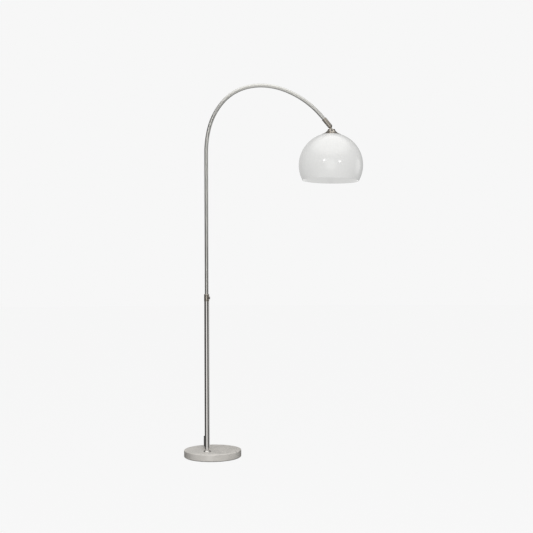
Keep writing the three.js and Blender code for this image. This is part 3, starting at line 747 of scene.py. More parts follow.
def jacket_finish():
    """Soft black jacket of the mains lead."""
    colour = tuple(bpy.context.scene.arc_lamp_lead.jacket)
    return moulded("lead_jacket", colour, 0.42, 0.56, 900, 0.15)


def felt_finish():
    """Pressed dark felt under the foot."""
    made = Finish("pressed_felt", Sheen_Weight=0.4, Specular_IOR_Level=0.15)
    vector = made.coordinates()
    fibre = made.noise(vector, 900, 5, 0.75, 1.2)
    made.colour(made.ramp(fibre, ((0.3, (0.022, 0.022, 0.024)), (0.7, (0.062, 0.061, 0.06)))))
    made.rough(fibre, 0.9, 1.0)
    made.bump(fibre, 0.6, 0.0006)
    return made.material


def once(build, *values, **sockets):
    """The finish is made the first time that it is asked for, and shared after that."""
    kept = []

    def give():
        if not kept:
            kept.append(build(*values, **sockets))
        return kept[0]

    return give


FINISHES = {
    "marble": once(marble_finish),
    "chrome": once(chrome_finish),
    "satin tube": once(satin_tube_finish),
    "nickel": once(nickel_finish),
    "steel": once(brushed, "turned_steel", (0.42, 0.415, 0.405), 0.3, 0.44, (8, 3000, 1), 0.12),
    "brass": once(brushed, "turned_brass", (0.52, 0.40, 0.20), 0.28, 0.4, (8, 3000, 1), 0.10),
    "opal": once(opal_finish),
    "bulb": once(bulb_finish),
    "plastic": once(plastic_finish),
    "jacket": once(jacket_finish),
    "rubber": once(moulded, "matt_rubber", (0.022, 0.022, 0.022), 0.6, 0.78, 1100, 0.2),
    "nylon": once(
        moulded, "white_nylon", (0.74, 0.71, 0.66), 0.42, 0.54, 800, 0.1, Subsurface_Weight=0.1
    ),
    "porcelain": once(
        moulded, "glazed_porcelain", (0.84, 0.82, 0.78), 0.12, 0.2, 300, 0.05, Coat_Weight=0.4
    ),
    "felt": once(felt_finish),
}


# ---------------------------------------------------------------- stage


def soft_light(name, place, target, size, power, mirrored=True):
    """A square area light that faces a target, and that polished surfaces mirror or not."""
    data = bpy.data.lights.new(name, "AREA")
    data.shape = "SQUARE"
    data.size = size
    data.energy = power
    light = linked(name, data)
    light.location = place
    light.rotation_euler = (Vector(target) - Vector(place)).to_track_quat("-Z", "Y").to_euler()
    light.visible_camera = False
    light.visible_glossy = mirrored
    return light


# the studio round the lamp: direction, cosines where the glow starts and where it is full, brightness
STUDIO_GLOWS = (
    ((-0.08, -1.0, -0.06), 0.90, 0.99, 1.05),
    ((0.94, 0.34, 0.0), 0.94, 0.995, 0.9),
    ((0.0, -0.2, 1.0), 0.5, 0.9, 1.5),
    ((0.0, -0.5, -1.0), 0.3, 0.95, 0.6),
    ((-0.3, 1.0, 0.2), 0.9, 1.0, 0.20),
)
STUDIO_SHADE = 0.10

# the floor's radius and matt share, and the brightness that the lamps add to it near the foot
FLOOR_RADIUS = 30
FLOOR_MATT = 0.02
FLOOR_CATCHES = 0.024


def build_studio_world():
    """Soft light from the front, the right, above and below, with dim sides that edge the metal."""
    world = bpy.data.worlds.new("studio")
    world.use_nodes = True
    tree = world.node_tree
    background = tree.nodes["Background"]
    direction = tree.nodes.new("ShaderNodeTexCoord").outputs["Generated"]
    total = None
    for aim, start, full, brightness in STUDIO_GLOWS:
        facing = tree.nodes.new("ShaderNodeVectorMath")
        facing.operation = "DOT_PRODUCT"
        facing.inputs[1].default_value = Vector(aim).normalized()
        tree.links.new(direction, facing.inputs[0])
        glow = tree.nodes.new("ShaderNodeMapRange")
        glow.interpolation_type = "SMOOTHSTEP"
        glow.inputs["From Min"].default_value = start
        glow.inputs["From Max"].default_value = full
        glow.inputs["To Max"].default_value = brightness
        glow.inputs["To Min"].default_value = 0 if total is not None else STUDIO_SHADE
        if total is None:
            glow.inputs["To Max"].default_value = brightness + STUDIO_SHADE
        tree.links.new(facing.outputs["Value"], glow.inputs["Value"])
        if total is None:
            total = glow.outputs["Result"]
            continue
        add = tree.nodes.new("ShaderNodeMath")
        add.operation = "ADD"
        tree.links.new(total, add.inputs[0])
        tree.links.new(glow.outputs["Result"], add.inputs[1])
        total = add.outputs["Value"]
    tree.links.new(total, background.inputs["Strength"])
    background.inputs["Color"].default_value = (1, 0.995, 0.985, 1)
    bpy.context.scene.world = world


def paper_finish(name, glow, catch):
    """Evenly lit studio paper, with a little of it left to catch a soft contact shadow."""
    material = bpy.data.materials.new(name)
    material.use_nodes = True
    tree = material.node_tree
    tree.nodes.clear()
    emission = tree.nodes.new("ShaderNodeEmission")
    emission.inputs["Color"].default_value = (1, 1, 1, 1)
    emission.inputs["Strength"].default_value = glow
    matt = tree.nodes.new("ShaderNodeBsdfDiffuse")
    matt.inputs["Color"].default_value = (catch, catch, catch, 1)
    both = tree.nodes.new("ShaderNodeAddShader")
    output = tree.nodes.new("ShaderNodeOutputMaterial")
    tree.links.new(emission.outputs[0], both.inputs[0])
    tree.links.new(matt.outputs[0], both.inputs[1])
    tree.links.new(both.outputs[0], output.inputs["Surface"])
    return material


def paper_sheet(name, work, glow, catch):
    """A sheet of studio paper from a bmesh in metres, left out of reflections and bounced light."""
    mesh = bpy.data.meshes.new(name)
    work.to_mesh(mesh)
    work.free()
    sheet = linked(name, mesh)
    mesh.materials.append(paper_finish(name + "_paper", glow, catch))
    sheet.visible_glossy = False
    sheet.visible_diffuse = False
    sheet.visible_transmission = False
    return sheet


class ARCLAMP_OT_stage(bpy.types.Operator):
    """Make the camera, the pale floor and the soft studio light"""

    bl_idname = "arc_lamp.stage"
    bl_label = "Stage"

    def execute(self, context):
        stage = context.scene.arc_lamp_stage
        context.scene.view_settings.view_transform = "Standard"
        context.scene.view_settings.look = "None"
        data = bpy.data.cameras.new("camera")
        data.lens = stage.focal_length
        data.sensor_width = 36
        data.clip_end = 200
        camera = linked("camera", data)
        camera.matrix_world = (
            Matrix.Translation((stage.across, -stage.distance, stage.height))
            @ about("X", math.pi / 2 + stage.pitch)
            @ about("Z", stage.roll)
        )
        context.scene.camera = camera

        work = bmesh.new()
        bmesh.ops.create_circle(work, cap_ends=True, segments=64, radius=FLOOR_RADIUS)
        floor = paper_sheet("floor", work, stage.paper - FLOOR_CATCHES, FLOOR_MATT)
        floor.location.z = -0.0005

        work = bmesh.new()
        bmesh.ops.create_uvsphere(work, u_segments=48, v_segments=24, radius=FLOOR_RADIUS + 2)
        backdrop = paper_sheet("backdrop", work, stage.paper, 0.0)
        backdrop.visible_shadow = False
        backdrop.visible_volume_scatter = False

        build_studio_world()
        soft_light("left lamp", (-1.15, -3.6, 2.3), (0.6, 0, 1.6), 0.40, 8)
        soft_light("right lamp", (2.2, -3.1, 1.9), (0.6, 0, 1.6), 0.34, 4.5)
        soft_light("front bank", (0.3, -3.7, 3.5), (0.2, 0, 0.9), 1.6, 122, mirrored=False)
        return {"FINISHED"}


# ---------------------------------------------------------------- mains lead


def coil_route():
    """The coil's turns: inwards on the lower layer, up, then outwards on the upper layer."""
    inner, mid, outer = COIL_RADII
    floor, upper = COIL_LAYERS
    # (angle in degrees, radius, height) where each stretch ends, with smooth steps between
    stations = (
        (90, outer, floor), (390, outer, floor), (450, mid, floor), (750, mid, floor),
        (810, inner, floor), (1050, inner, floor), (1110, inner, upper), (1350, inner, upper),
        (1410, mid, upper), (1710, mid, upper), (1770, outer, upper), (2160, outer, upper),
    )
    points = []
    step = 15
    for (a0, r0, z0), (a1, r1, z1) in zip(stations, stations[1:]):
        count = round((a1 - a0) / step)
        for i in range(count):
            t = i / count
            eased_t = t * t * (3 - 2 * t)
            angle = math.radians(a0 + (a1 - a0) * t)
            radius = r0 + (r1 - r0) * eased_t
            points.append(
                (
                    COIL_CENTRE[0] + radius * math.cos(angle),
                    COIL_CENTRE[1] + radius * math.sin(angle),
                    z0 + (z1 - z0) * eased_t,
                )
            )
    points.append((COIL_CENTRE[0] + outer, COIL_CENTRE[1], upper))
    return points


def on_pole(height=0, turn=None):
    """A placement on the pole's axis, with the height in millimetres."""
    return at(POLE_X, POLE_Y, height, turn)


def relief_place():
    """The placement of the hole and the relief that the lead leaves the pole by."""
    turn = about("Z", RELIEF_TURN) @ about("Y", math.pi / 2)
    return on_pole(RELIEF_HEIGHT, turn)


def ribbed_sleeve(base, tip, start, length, rings):
    """Outer profile of a tapered strain relief with shallow grooves, from its wide end."""
    points = []
    steps = max(1, rings) * 6
    for i in range(steps + 1):
        t = i / steps
        radius = base + (tip - base) * t
        groove = 0.32 * (0.5 - 0.5 * math.cos(2 * math.pi * rings * t)) if rings else 0
        points.append((radius - groove, start + length * t))
    return points


def small_relief(name, start, length, place):
    """The short tapered sleeve where the lead enters the switch or the plug."""
    bore = 3.3
    rings = bpy.context.scene.arc_lamp_lead.relief_rings
    outer = ribbed_sleeve(5.5, 4.3, start + 1, length - 1.4, rings)
    tip = start + length
    return turned(name, [(bore, start), (5.2, start), *outer, (4.0, tip), (bore, tip)], 40, place)


class ARCLAMP_OT_lamp_lead(bpy.types.Operator):
    """Lay the lead from the pole over the foot to the switch, with the relief that it leaves by"""

    bl_idname = "arc_lamp.lamp_lead"
    bl_label = "Lamp lead"

    def execute(self, context):
        lead = context.scene.arc_lamp_lead
        piece = lead_curve("lamp_lead", LAMP_LEAD_ROUTE, lead.diameter / 2)
        finished(piece, "base", "cord_jacket", "jacket", "cord_lamp")

        inside = POLE_RADIUS - 2.5
        face = POLE_RADIUS + 0.3
        flange = face + 2.5
        tip = flange + 20
        taper = ribbed_sleeve(5.9, 4.55, flange, 19.6, lead.relief_rings + 1)
        corners = [(5.2, face), (7.2, face), (7.2, flange - 0.2), (6.2, flange)]
        collar = eased(corners, 0.7, 4, loop=False)
        profile = [
            (3.3, inside), (5.2, inside), (5.2, face), *collar[1:], *taper, (4.3, tip), (3.3, tip),
        ]
        relief = turned("pole_relief", profile, 48, relief_place())
        finished(relief, "base", "rubber", "rubber", "cord_relief")
        return {"FINISHED"}


class ARCLAMP_OT_plug_lead(bpy.types.Operator):
    """Lay the lead from the switch through its coil to the plug, with the strap round the coil"""

    bl_idname = "arc_lamp.plug_lead"
    bl_label = "Plug lead and coil"

    def execute(self, context):
        lead = context.scene.arc_lamp_lead
        route = [*FEED_ROUTE, *coil_route(), *TAIL_ROUTE]
        piece = lead_curve("plug_lead", route, lead.diameter / 2)
        finished(piece, "base", "cord_jacket", "jacket", "cord_feed", "cord_coil", "cord_tail")

        centre = middle("cord_tie")
        turn = math.radians(200)
        half_wide, half_high, corner = 11.2, 7.3, 2.4
        loop = []
        for right, up, first in ((1, 1, 0), (-1, 1, 90), (-1, -1, 180), (1, -1, 270)):
            centre_of_corner = (right * (half_wide - corner), up * (half_high - corner))
            loop.extend(arc_points(centre_of_corner, corner, first, first + 90, 6))
        work = bmesh.new()
        rings = []
        sides = ((0, -4.2), (0, 4.2), (0.25, 4.5), (0.75, 4.3), (0.75, -4.3), (0.25, -4.5))
        for inset, across in sides:
            rings.append([work.verts.new((x, across, z)) for x, z in drawn_in(loop)(inset)])
        skinned(work, [*rings, rings[0]])
        strap = new_piece("coil_strap", work, at(*centre, about("Z", turn)))
        finished(strap, "base", "black_plastic", "jacket", "cord_tie")
        return {"FINISHED"}


class ARCLAMP_OT_switch(bpy.types.Operator):
    """Make the foot switch: base, cover, button and its two strain reliefs"""

    bl_idname = "arc_lamp.switch"
    bl_label = "Foot switch"

    def execute(self, context):
        centre = middle("switch_base")
        place = at(centre.x, centre.y, 0)
        outline = strap_outline((-11, 0), (11, 0), 19, 28)
        layers = [(1.4, 0), (1, 0.4), (0.7, 1.2), (0, 2.2), (0, 8.6), (0.4, 9)]
        base = stacked("switch_foot", outline, layers, place)
        finished(base, "base", "black_plastic", "plastic", "switch_base")

        layers = [(0.5, 9.3), (0, 9.8), (0, 13.5)]
        for i in range(1, 8):
            angle = math.pi / 2 * i / 7
            layers.append((3.4 * (1 - math.cos(angle)), 13.5 + 5.5 * math.sin(angle)))
        cover = stacked("switch_lid", outline, layers, place)
        well = drill("switch_well", 12.3, 8, 30, 64, place)
        room = strap_outline((-11, 0), (11, 0), 17, 28)
        recess = stacked("switch_room", room, [(0, 8), (0, 16.6)], place)
        carved(cover, well, recess)
        finished(cover, "base", "black_plastic", "plastic", "switch_cover")

        low = low_of("switch_button", 2)
        high = high_of("switch_button", 2)
        crown = high - 0.9
        profile = [
            (0, low), (13.4, low), (13.4, 16), (12, 16.2), (12, crown), (11.6, high - 0.25),
            (10.8, high), (9, high - 0.1), (6, high - 0.55), (3, high - 0.8), (0, high - 0.9),
        ]
        button = turned("switch_push_button", profile, 72, place, loop=False)
        finished(button, "button", "black_plastic", "plastic", "switch_button")

        for name, node, turn in (
            ("switch_relief_near", "switch_relief_in", -math.pi / 2),
            ("switch_relief_far", "switch_relief_out", math.pi / 2),
        ):
            relief_at = at(centre.x, centre.y, LEAD_HEIGHT, about("Y", turn))
            relief = small_relief(name, 30.3, 13.7, relief_at)
            finished(relief, "base", "rubber", "rubber", node)
        return {"FINISHED"}


class ARCLAMP_OT_plug(bpy.types.Operator):
    """Make the mains plug: body with finger grips, strain relief and two pins"""

    bl_idname = "arc_lamp.plug"
    bl_label = "Mains plug"

    def execute(self, context):
        front = high_of("plug_body", 0)
        height = middle("plug_relief").z
        centre = middle("plug_body")
        half = 13
        length = 36
        points = [(0, half)]
        for i in range(9):
            t = i / 8
            x = -(0.55 * (1 - t) ** 2 + 2 * 0.85 * t * (1 - t) + t * t) * length
            y = half * ((1 - t) ** 2 + 2 * t * (1 - t) + 0.45 * t * t)
            points.append((x, y))
        outline = points + [(x, -y) for x, y in reversed(points)]
        place = at(front, centre.y, 0)
        layers = round_edge_layers(0.1, 13.9, 2.2, 5)
        body = stacked("plug_shell", drawn_in(outline[::-1]), layers, place)
        grips = []
        for i in range(5):
            for side in (-1, 1):
                spot = at(front - 11 - 3 * i, centre.y + side * (half + 0.25), 7)
                groove = [(0, -4.5), (0.8, -4), (0.8, 4), (0, 4.5)]
                grips.append(turned("grip", groove, 16, spot, loop=False))
        carved(body, *grips)
        finished(body, "base", "black_plastic", "plastic", "plug_body")

        place = at(front, centre.y, height, about("Y", -math.pi / 2))
        relief = small_relief("plug_sleeve", 36.3, 16.7, place)
        finished(relief, "base", "rubber", "rubber", "plug_relief")

        for name, node in (("plug_pin_left", "plug_pin_upper"), ("plug_pin_right", "plug_pin_lower")):
            spot = middle(node)
            profile = [(0, 0.3), (2, 0.3), (2, 17.2), *arc_points((0.9, 17.9), 1.1, 0, 90, 5), (0, 19)]
            place = at(front, spot.y, spot.z, about("Y", math.pi / 2))
            pin = turned(name, profile, 32, place, loop=False)
            finished(pin, "base", "steel", "steel", node)
        return {"FINISHED"}


# ---------------------------------------------------------------- foot, pole and collar


class ARCLAMP_OT_foot(bpy.types.Operator):
    """Make the marble disc and the felt under it"""

    bl_idname = "arc_lamp.foot"
    bl_label = "Marble foot"

    def execute(self, context):
        foot = context.scene.arc_lamp_foot
        radius = foot.radius / MM
        edge = foot.edge / MM
        low = low_of("marble_base", 2)
        profile = [
            (0, low), *arc_points((radius - edge, low + edge), edge, -90, 0, 10),
            *arc_points((radius - edge, MARBLE_TOP - edge), edge, 0, 90, 10), (0, MARBLE_TOP),
        ]
        disc = turned("marble_disc", profile, 224, at(0, 0, 0), loop=False)
        spot = on_pole()
        recess = drill("recess", 22, 0, low + 14, 64, spot)
        hole = drill("bolt hole", 7, 0, 60, 40, spot)
        carved(disc, recess, hole)
        finished(disc, "base", "marble", "marble", "marble_base")

        rim = high_of("base_felt", 0)
        profile = eased([(0, 0), (rim, 0), (rim, 2), (0, 2)], 0.8, 4)
        pad = turned("felt_pad", profile, 160, at(0, 0, 0))
        hole = drill("felt hole", 22, -1, 3, 64, spot)
        carved(pad, hole)
        finished(pad, "base", "felt", "felt", "base_felt")
        refinished("base_washer", "steel")
        refinished("base_bolt", "steel")
        return {"FINISHED"}


class ARCLAMP_OT_pole(bpy.types.Operator):
    """Make the lower pole and the turned ring at its foot"""

    bl_idname = "arc_lamp.pole"
    bl_label = "Lower pole"

    def execute(self, context):
        radius = context.scene.arc_lamp_tube.pole_radius / MM
        bore = radius - 1.5
        low = low_of("lower_pole", 2)
        top = high_of("lower_pole", 2)
        spigot = radius - 0.5
        profile = [(bore, low), (radius, low)]
        steps = 24
        for i in range(steps + 1):
            profile.append((radius, low + (POLE_TOP - low) * i / steps))
        profile.extend([(spigot, POLE_TOP), (spigot, top), (bore, top)])
        pole = turned("lower_tube", profile[1:] + [profile[0]], 96, on_pole())
        carved(pole, drill("lead hole", 5.5, 2, 18, 40, relief_place()))
        finished(pole, "base", "chrome", "chrome", "lower_pole")

        inner = radius + 0.3
        outer = high_of("pole_foot_ring", 0) - POLE_X
        rise = high_of("pole_foot_ring", 2)
        profile = [
            (inner, low), (outer, low), (outer, low + 1.6), (outer - 1.2, low + 2.8),
            *hollowed((outer - 1.6, low + 3.1), (inner + 2.4, rise - 1.0), 0.7, 6), (inner + 1.4, rise),
            (inner, rise),
        ]
        ring = turned("foot_ring", eased(profile, 0.6), 96, on_pole())
        finished(ring, "base", "chrome", "chrome", "pole_foot_ring")
        refinished("pole_plug", "steel")
        refinished("pole_lead", "jacket")
        return {"FINISHED"}


class ARCLAMP_OT_collar(bpy.types.Operator):
    """Make the collar, its knurled locking screw and the nylon bush inside"""

    bl_idname = "arc_lamp.collar"
    bl_label = "Collar and locking screw"

    def execute(self, context):
        low = low_of("collar", 2)
        high = high_of("collar", 2)
        outer = (high_of("collar", 1) - low_of("collar", 1)) / 2
        bore = POLE_RADIUS - 1.5
        lip = 10.1
        profile = [(12.3, low), (outer - 0.3, low), (outer, low + 0.4)]
        for groove in (low + 3.0, high - 5.6):
            profile.extend([(outer, groove - 0.35), (outer - 0.35, groove), (outer, groove + 0.35)])
        profile.extend([
            (outer, high - 2.4), (outer - 0.3, high - 1.7), (outer - 1.7, high - 0.3),
            (outer - 2.3, high), (lip + 0.4, high), (lip, high - 0.4), (lip, high - 4),
            (bore, high - 4), (bore, low + 10.4), (12.3, low + 10.4),
        ])
        collar = turned("collar_sleeve", profile, 96, on_pole())
        screw_height = middle("locking_screw").z
        turn = about("Y", math.pi / 2)
        carved(collar, drill("screw hole", 2.8, 5, 18, 32, on_pole(screw_height, turn)))
        finished(collar, "base", "satin_nickel", "nickel", "collar")

        start = bore - 0.15
        under = outer + 0.3
        top = high_of("locking_screw", 0) - POLE_X
        work = bmesh.new()
        flutes = 20
        around = flutes * 8
        rings = []
        levels = (
            (0.8, under), (0.15, under + 0.5), (0, under + 0.9), (0, top - 1.1), (0.2, top - 0.6),
            (1.0, top - 0.1), (1.4, top),
        )
        for inset, height in levels:
            ring = []
            for i in range(around):
                angle = 2 * math.pi * i / around
                ridge = 0.28 * abs(math.sin(angle * flutes / 2))
                radius = SCREW_HEAD_RADIUS - 0.3 + ridge - inset
                corner = (radius * math.cos(angle), radius * math.sin(angle), height)
                ring.append(work.verts.new(corner))
            rings.append(ring)
        for radius, height in ((5.2, top), (4.9, top - 0.35), (0.9, top - 0.35)):
            rings.append(circle_ring(work, radius, height, around))
        shank = []
        for radius, height in ((2.5, under), (2.5, start + 0.5), (2.1, start)):
            shank.append(circle_ring(work, radius, height, around))
        closed_body(work, [*shank[::-1], *rings])
        screw = new_piece("knurled_screw", work, on_pole(screw_height, turn))
        finished(screw, "lock", "satin_nickel", "steel", "locking_screw")
        refinished("collar_bush", "nylon")
        return {"FINISHED"}


# ---------------------------------------------------------------- arc and knuckle


def arc_stations(low, tail):
    """Stations (x, z, heading) of the arc's centreline in millimetres, from the pole's axis."""
    stations = [(0, low, math.pi / 2)]
    straight = 10
    for i in range(1, straight + 1):
        stations.append((0, low + (ARC_BEND_START - low) * i / straight, math.pi / 2))
    x, z, heading = stations[-1]
    for radius, turn in ARC_BENDS:
        count = max(1, round(turn / ARC_STEP))
        start_x, start_z, first = x, z, heading
        for i in range(1, count + 1):
            heading = first - math.radians(turn * i / count)
            x = start_x + radius * (math.sin(first) - math.sin(heading))
            z = start_z + radius * (math.cos(heading) - math.cos(first))
            stations.append((x, z, heading))
    stations.append((x + tail * math.cos(heading), z + tail * math.sin(heading), heading))
    return stations


class ARCLAMP_OT_arc(bpy.types.Operator):
    """Make the bent arc tube that slides in the pole"""

    bl_idname = "arc_lamp.arc"
    bl_label = "Arc tube"

    def execute(self, context):
        tube = context.scene.arc_lamp_tube
        radius = tube.arc_radius / MM
        inner = radius - tube.wall / MM
        stations = arc_stations(ARC_LOW, ARC_TAIL)
        arc = swept_tube("arc", stations, radius, inner, tube.sides, on_pole())
        finished(arc, "arm", "brushed_tube", "satin tube", "arc_tube")
        refinished("arc_lead", "jacket")
        refinished("guide_bush", "nylon")
        return {"FINISHED"}


class ARCLAMP_OT_knuckle(bpy.types.Operator):
    """Make the sleeve on the arc's end and the tongue that carries the hinge"""

    bl_idname = "arc_lamp.knuckle"
    bl_label = "End sleeve and knuckle"

    def execute(self, context):
        end_x, end_z, heading = arc_stations(ARC_LOW, ARC_TAIL)[-2]
        turn = math.pi / 2 - heading
        place = at(POLE_X + end_x, POLE_Y, end_z, about("Y", turn))
        tip, radius, ring_radius, start = SLEEVE_TIP, 12, 12.6, 3
        middle_height = tip - radius
        profile = [
            (9.9, start), (ring_radius - 0.4, start), (ring_radius, start + 0.5),
            (ring_radius, start + 3.1), (ring_radius - 0.4, start + 3.5), (radius - 0.25, start + 3.8),
            (radius - 0.25, start + 4.3),
            (radius, start + 4.6), *arc_points((0, middle_height), radius, 0, 90, 16),
            (0, middle_height - 8), (9.8, middle_height - 8),
        ]
        sleeve = turned("arc_end_sleeve", profile, 96, place)
        pin = (PIN_DROP * math.sin(turn), tip - PIN_DROP * math.cos(turn))
        spot = (0, middle_height)
        upright = place @ about("X", math.pi / 2)
        slot = stacked("slot", strap_outline(spot, pin, 7.8, 24), [(0, -4.3), (0, 4.3)], upright)
        carved(sleeve, slot)
        finished(sleeve, "arm", "satin_nickel", "nickel", "end_sleeve")

        layers = round_edge_layers(-4, 4, 0.7, 4)
        tongue = stacked("hinge_tongue", strap_outline(spot, pin, 7.5, 28), layers, upright)
        hole_place = place @ at(pin[0], 0, pin[1], about("X", math.pi / 2))
        carved(tongue, drill("pin hole", PIN_HOLE_RADIUS, -8, 8, 40, hole_place))
        finished(tongue, "arm", "satin_nickel", "nickel", "knuckle_tongue")
        return {"FINISHED"}


# ---------------------------------------------------------------- shade


def hung(z=0.0, turn=None):
    """A placement in the shade's own tilted frame, with heights from the hinge axis."""
    place = at(*HINGE, about("Y", SHADE_TILT)) @ Matrix.Translation((0, 0, z * MM))
    return place @ turn if turn is not None else place


def gasket_top(globe):
    """Height of the gasket's upper face, where its rim clears the globe's inner wall."""
    wall = bpy.context.scene.arc_lamp_shade.wall / MM
    centre = -GLOBE_CROWN - globe
    return centre + math.sqrt((globe - wall) ** 2 - GASKET_RADIUS**2) - GASKET_GAP


class ARCLAMP_OT_cap(bpy.types.Operator):
    """Make the turned cap with its slot, and the hinge screw and nut through it"""

    bl_idname = "arc_lamp.cap"
    bl_label = "Shade cap and hinge"

    def execute(self, context):
        shade = context.scene.arc_lamp_shade
        globe = shade.radius / MM
        skirt = -GLOBE_CROWN - globe + math.sqrt(globe**2 - 50**2) + 0.7
        gasket_bottom = gasket_top(globe) - GASKET_THICK
        web = -13.0
        profile = [
            (5.3, 9.5), (17.9, 9.5), (18.75, 9.3), (19.2, 8.5),
            *hollowed((19.4, 5), (50, skirt + 1.2), 3.2, 20), (49.9, skirt + 0.3), (49.3, skirt),
            *hollowed((48.6, skirt + 0.2), (20.2, web + 4.2), 1.2, 8), (20.2, web), (14.7, web),
            (14.7, gasket_bottom + 0.3), (5.3, gasket_bottom + 0.3),
        ]
        cap = turned("shade_cap_bell", profile, 128, hung())
        across = hung(0, about("X", math.pi / 2))
        fork = drawn_in([(-17, -5.5), (14, -5.5), (14, 12), (-17, 12)])
        slot = stacked("slot", fork, [(0, -4.3), (0, 4.3)], across)
        low_slot = drill("slot floor", 8.1, -4.3, 4.3, 56, across)
        hole = drill("pin hole", PIN_HOLE_RADIUS, -60, 60, 40, across)
        seat = drill("head seat", 5.8, 13, 60, 48, across)
        back = drill("nut seat", 5.8, -60, -13, 48, across)
        carved(cap, slot, low_slot, hole, seat, back)
        finished(cap, "shade", "satin_nickel", "nickel", "shade_cap")

        face, top = 13.3, 17.1
        profile = [
            (0, -17.1), (2.6, -17.1), (3, -16.7), (3, face), (5.2, face), (5.2, top - 1.2),
            (4.9, top - 0.6), (4.2, top - 0.15), (3.2, top), (0, top),
        ]
        screw = turned("hinge_pin_screw", profile, 56, across, loop=False)
        blade = drawn_in([(-6, -0.5), (6, -0.5), (6, 0.5), (-6, 0.5)])
        nick = stacked("nick", blade, [(0, top - 1.1), (0, top + 2)], across)
        carved(screw, nick)
        finished(screw, "shade", "steel", "steel", "hinge_screw")

        behind = hung(0, about("X", -math.pi / 2))
        layers = [(0.4, 13.3), (0, 13.6), (0, 15.9), (0.4, 16.3)]
        nut = stacked("hinge_hex_nut", drawn_in(hexagon(5.2)), layers, behind)
        bore = drill("bore", PIN_HOLE_RADIUS, 10, 20, 32, behind)
        carved(nut, bore)
        finished(nut, "shade", "steel", "steel", "hinge_nut")
        return {"FINISHED"}


class ARCLAMP_OT_globe(bpy.types.Operator):
    """Make the opal globe, open below, with its rounded rim"""

    bl_idname = "arc_lamp.globe"
    bl_label = "Opal globe"

    def execute(self, context):
        shade = context.scene.arc_lamp_shade
        radius = shade.radius / MM
        wall = shade.wall / MM
        drop = shade.rim_drop / MM
        depth = -GLOBE_CROWN - radius
        inside = radius - wall

        def hole_angle(r):
            return 90 - math.degrees(math.asin(20.5 / r))

        def rim_angle(r):
            return -math.degrees(math.asin(drop / r))

        outer = arc_points((0, depth), radius, hole_angle(radius), rim_angle(radius) + 0.5, 72)
        inner = arc_points((0, depth), inside, rim_angle(inside) + 0.5, hole_angle(inside), 72)
        a, b = Vector(outer[-1]), Vector(inner[0])
        rim_middle = (a + b) / 2
        half = (a - b) / 2
        down = Vector((half.y, -half.x))
        rim = []
        for i in range(1, 8):
            angle = math.pi * i / 8
            rim.append(tuple(rim_middle + half * math.cos(angle) + down * math.sin(angle)))
        globe = turned("opal_globe", [*outer, *rim, *inner], 176, hung())
        finished(globe, "shade", "opal", "opal", "shade")
        return {"FINISHED"}


class ARCLAMP_OT_clamp(bpy.types.Operator):
    """Make the gasket, washer, nut and threaded nipple that hold the globe under the cap"""

    bl_idname = "arc_lamp.clamp"
    bl_label = "Globe clamp"

    def execute(self, context):
        globe = context.scene.arc_lamp_shade.radius / MM
        bore = 5.3
        high = gasket_top(globe)
        low = high - GASKET_THICK
        profile = eased([(21, low), (GASKET_RADIUS, low), (GASKET_RADIUS, high), (21, high)], 0.4)
        gasket = turned("globe_gasket", profile, 96, hung())
        finished(gasket, "shade", "rubber", "rubber", "shade_gasket")
        high = gasket_top(globe) - WASHER_DROP
        low = high - WASHER_THICK
        profile = eased([(bore, low), (30, low), (30, high), (bore, high)], 0.5)
        washer = turned("clamp_washer", profile, 96, hung())
        finished(washer, "shade", "steel", "steel", "shade_washer")
        top = low - PIECE_GAP
        layers = [(0.6, top - NUT_THICK), (0, top - 4.6), (0, top - 0.4), (0.6, top)]
        nut = stacked("clamp_nut", drawn_in(hexagon(8.5)), layers, hung())
        carved(nut, drill("bore", bore, top - 9, top + 3, 40, hung()))
        finished(nut, "shade", "brass", "brass", "nipple_nut")
        low = top - NUT_THICK - HOLDER_DROP - 8
        high = -9.5
        profile = [(3.5, low), (4.5, low)]
        height = low + 0.6
        while height < high - 1:
            profile.extend([(5, height), (4.72, height + 0.5)])
            height += 1
        profile.extend([(5, high - 0.4), (4.7, high), (3.5, high)])
        nipple = turned("threaded_nipple", profile, 40, hung())
        finished(nipple, "shade", "brass", "brass", "shade_nipple")
        return {"FINISHED"}


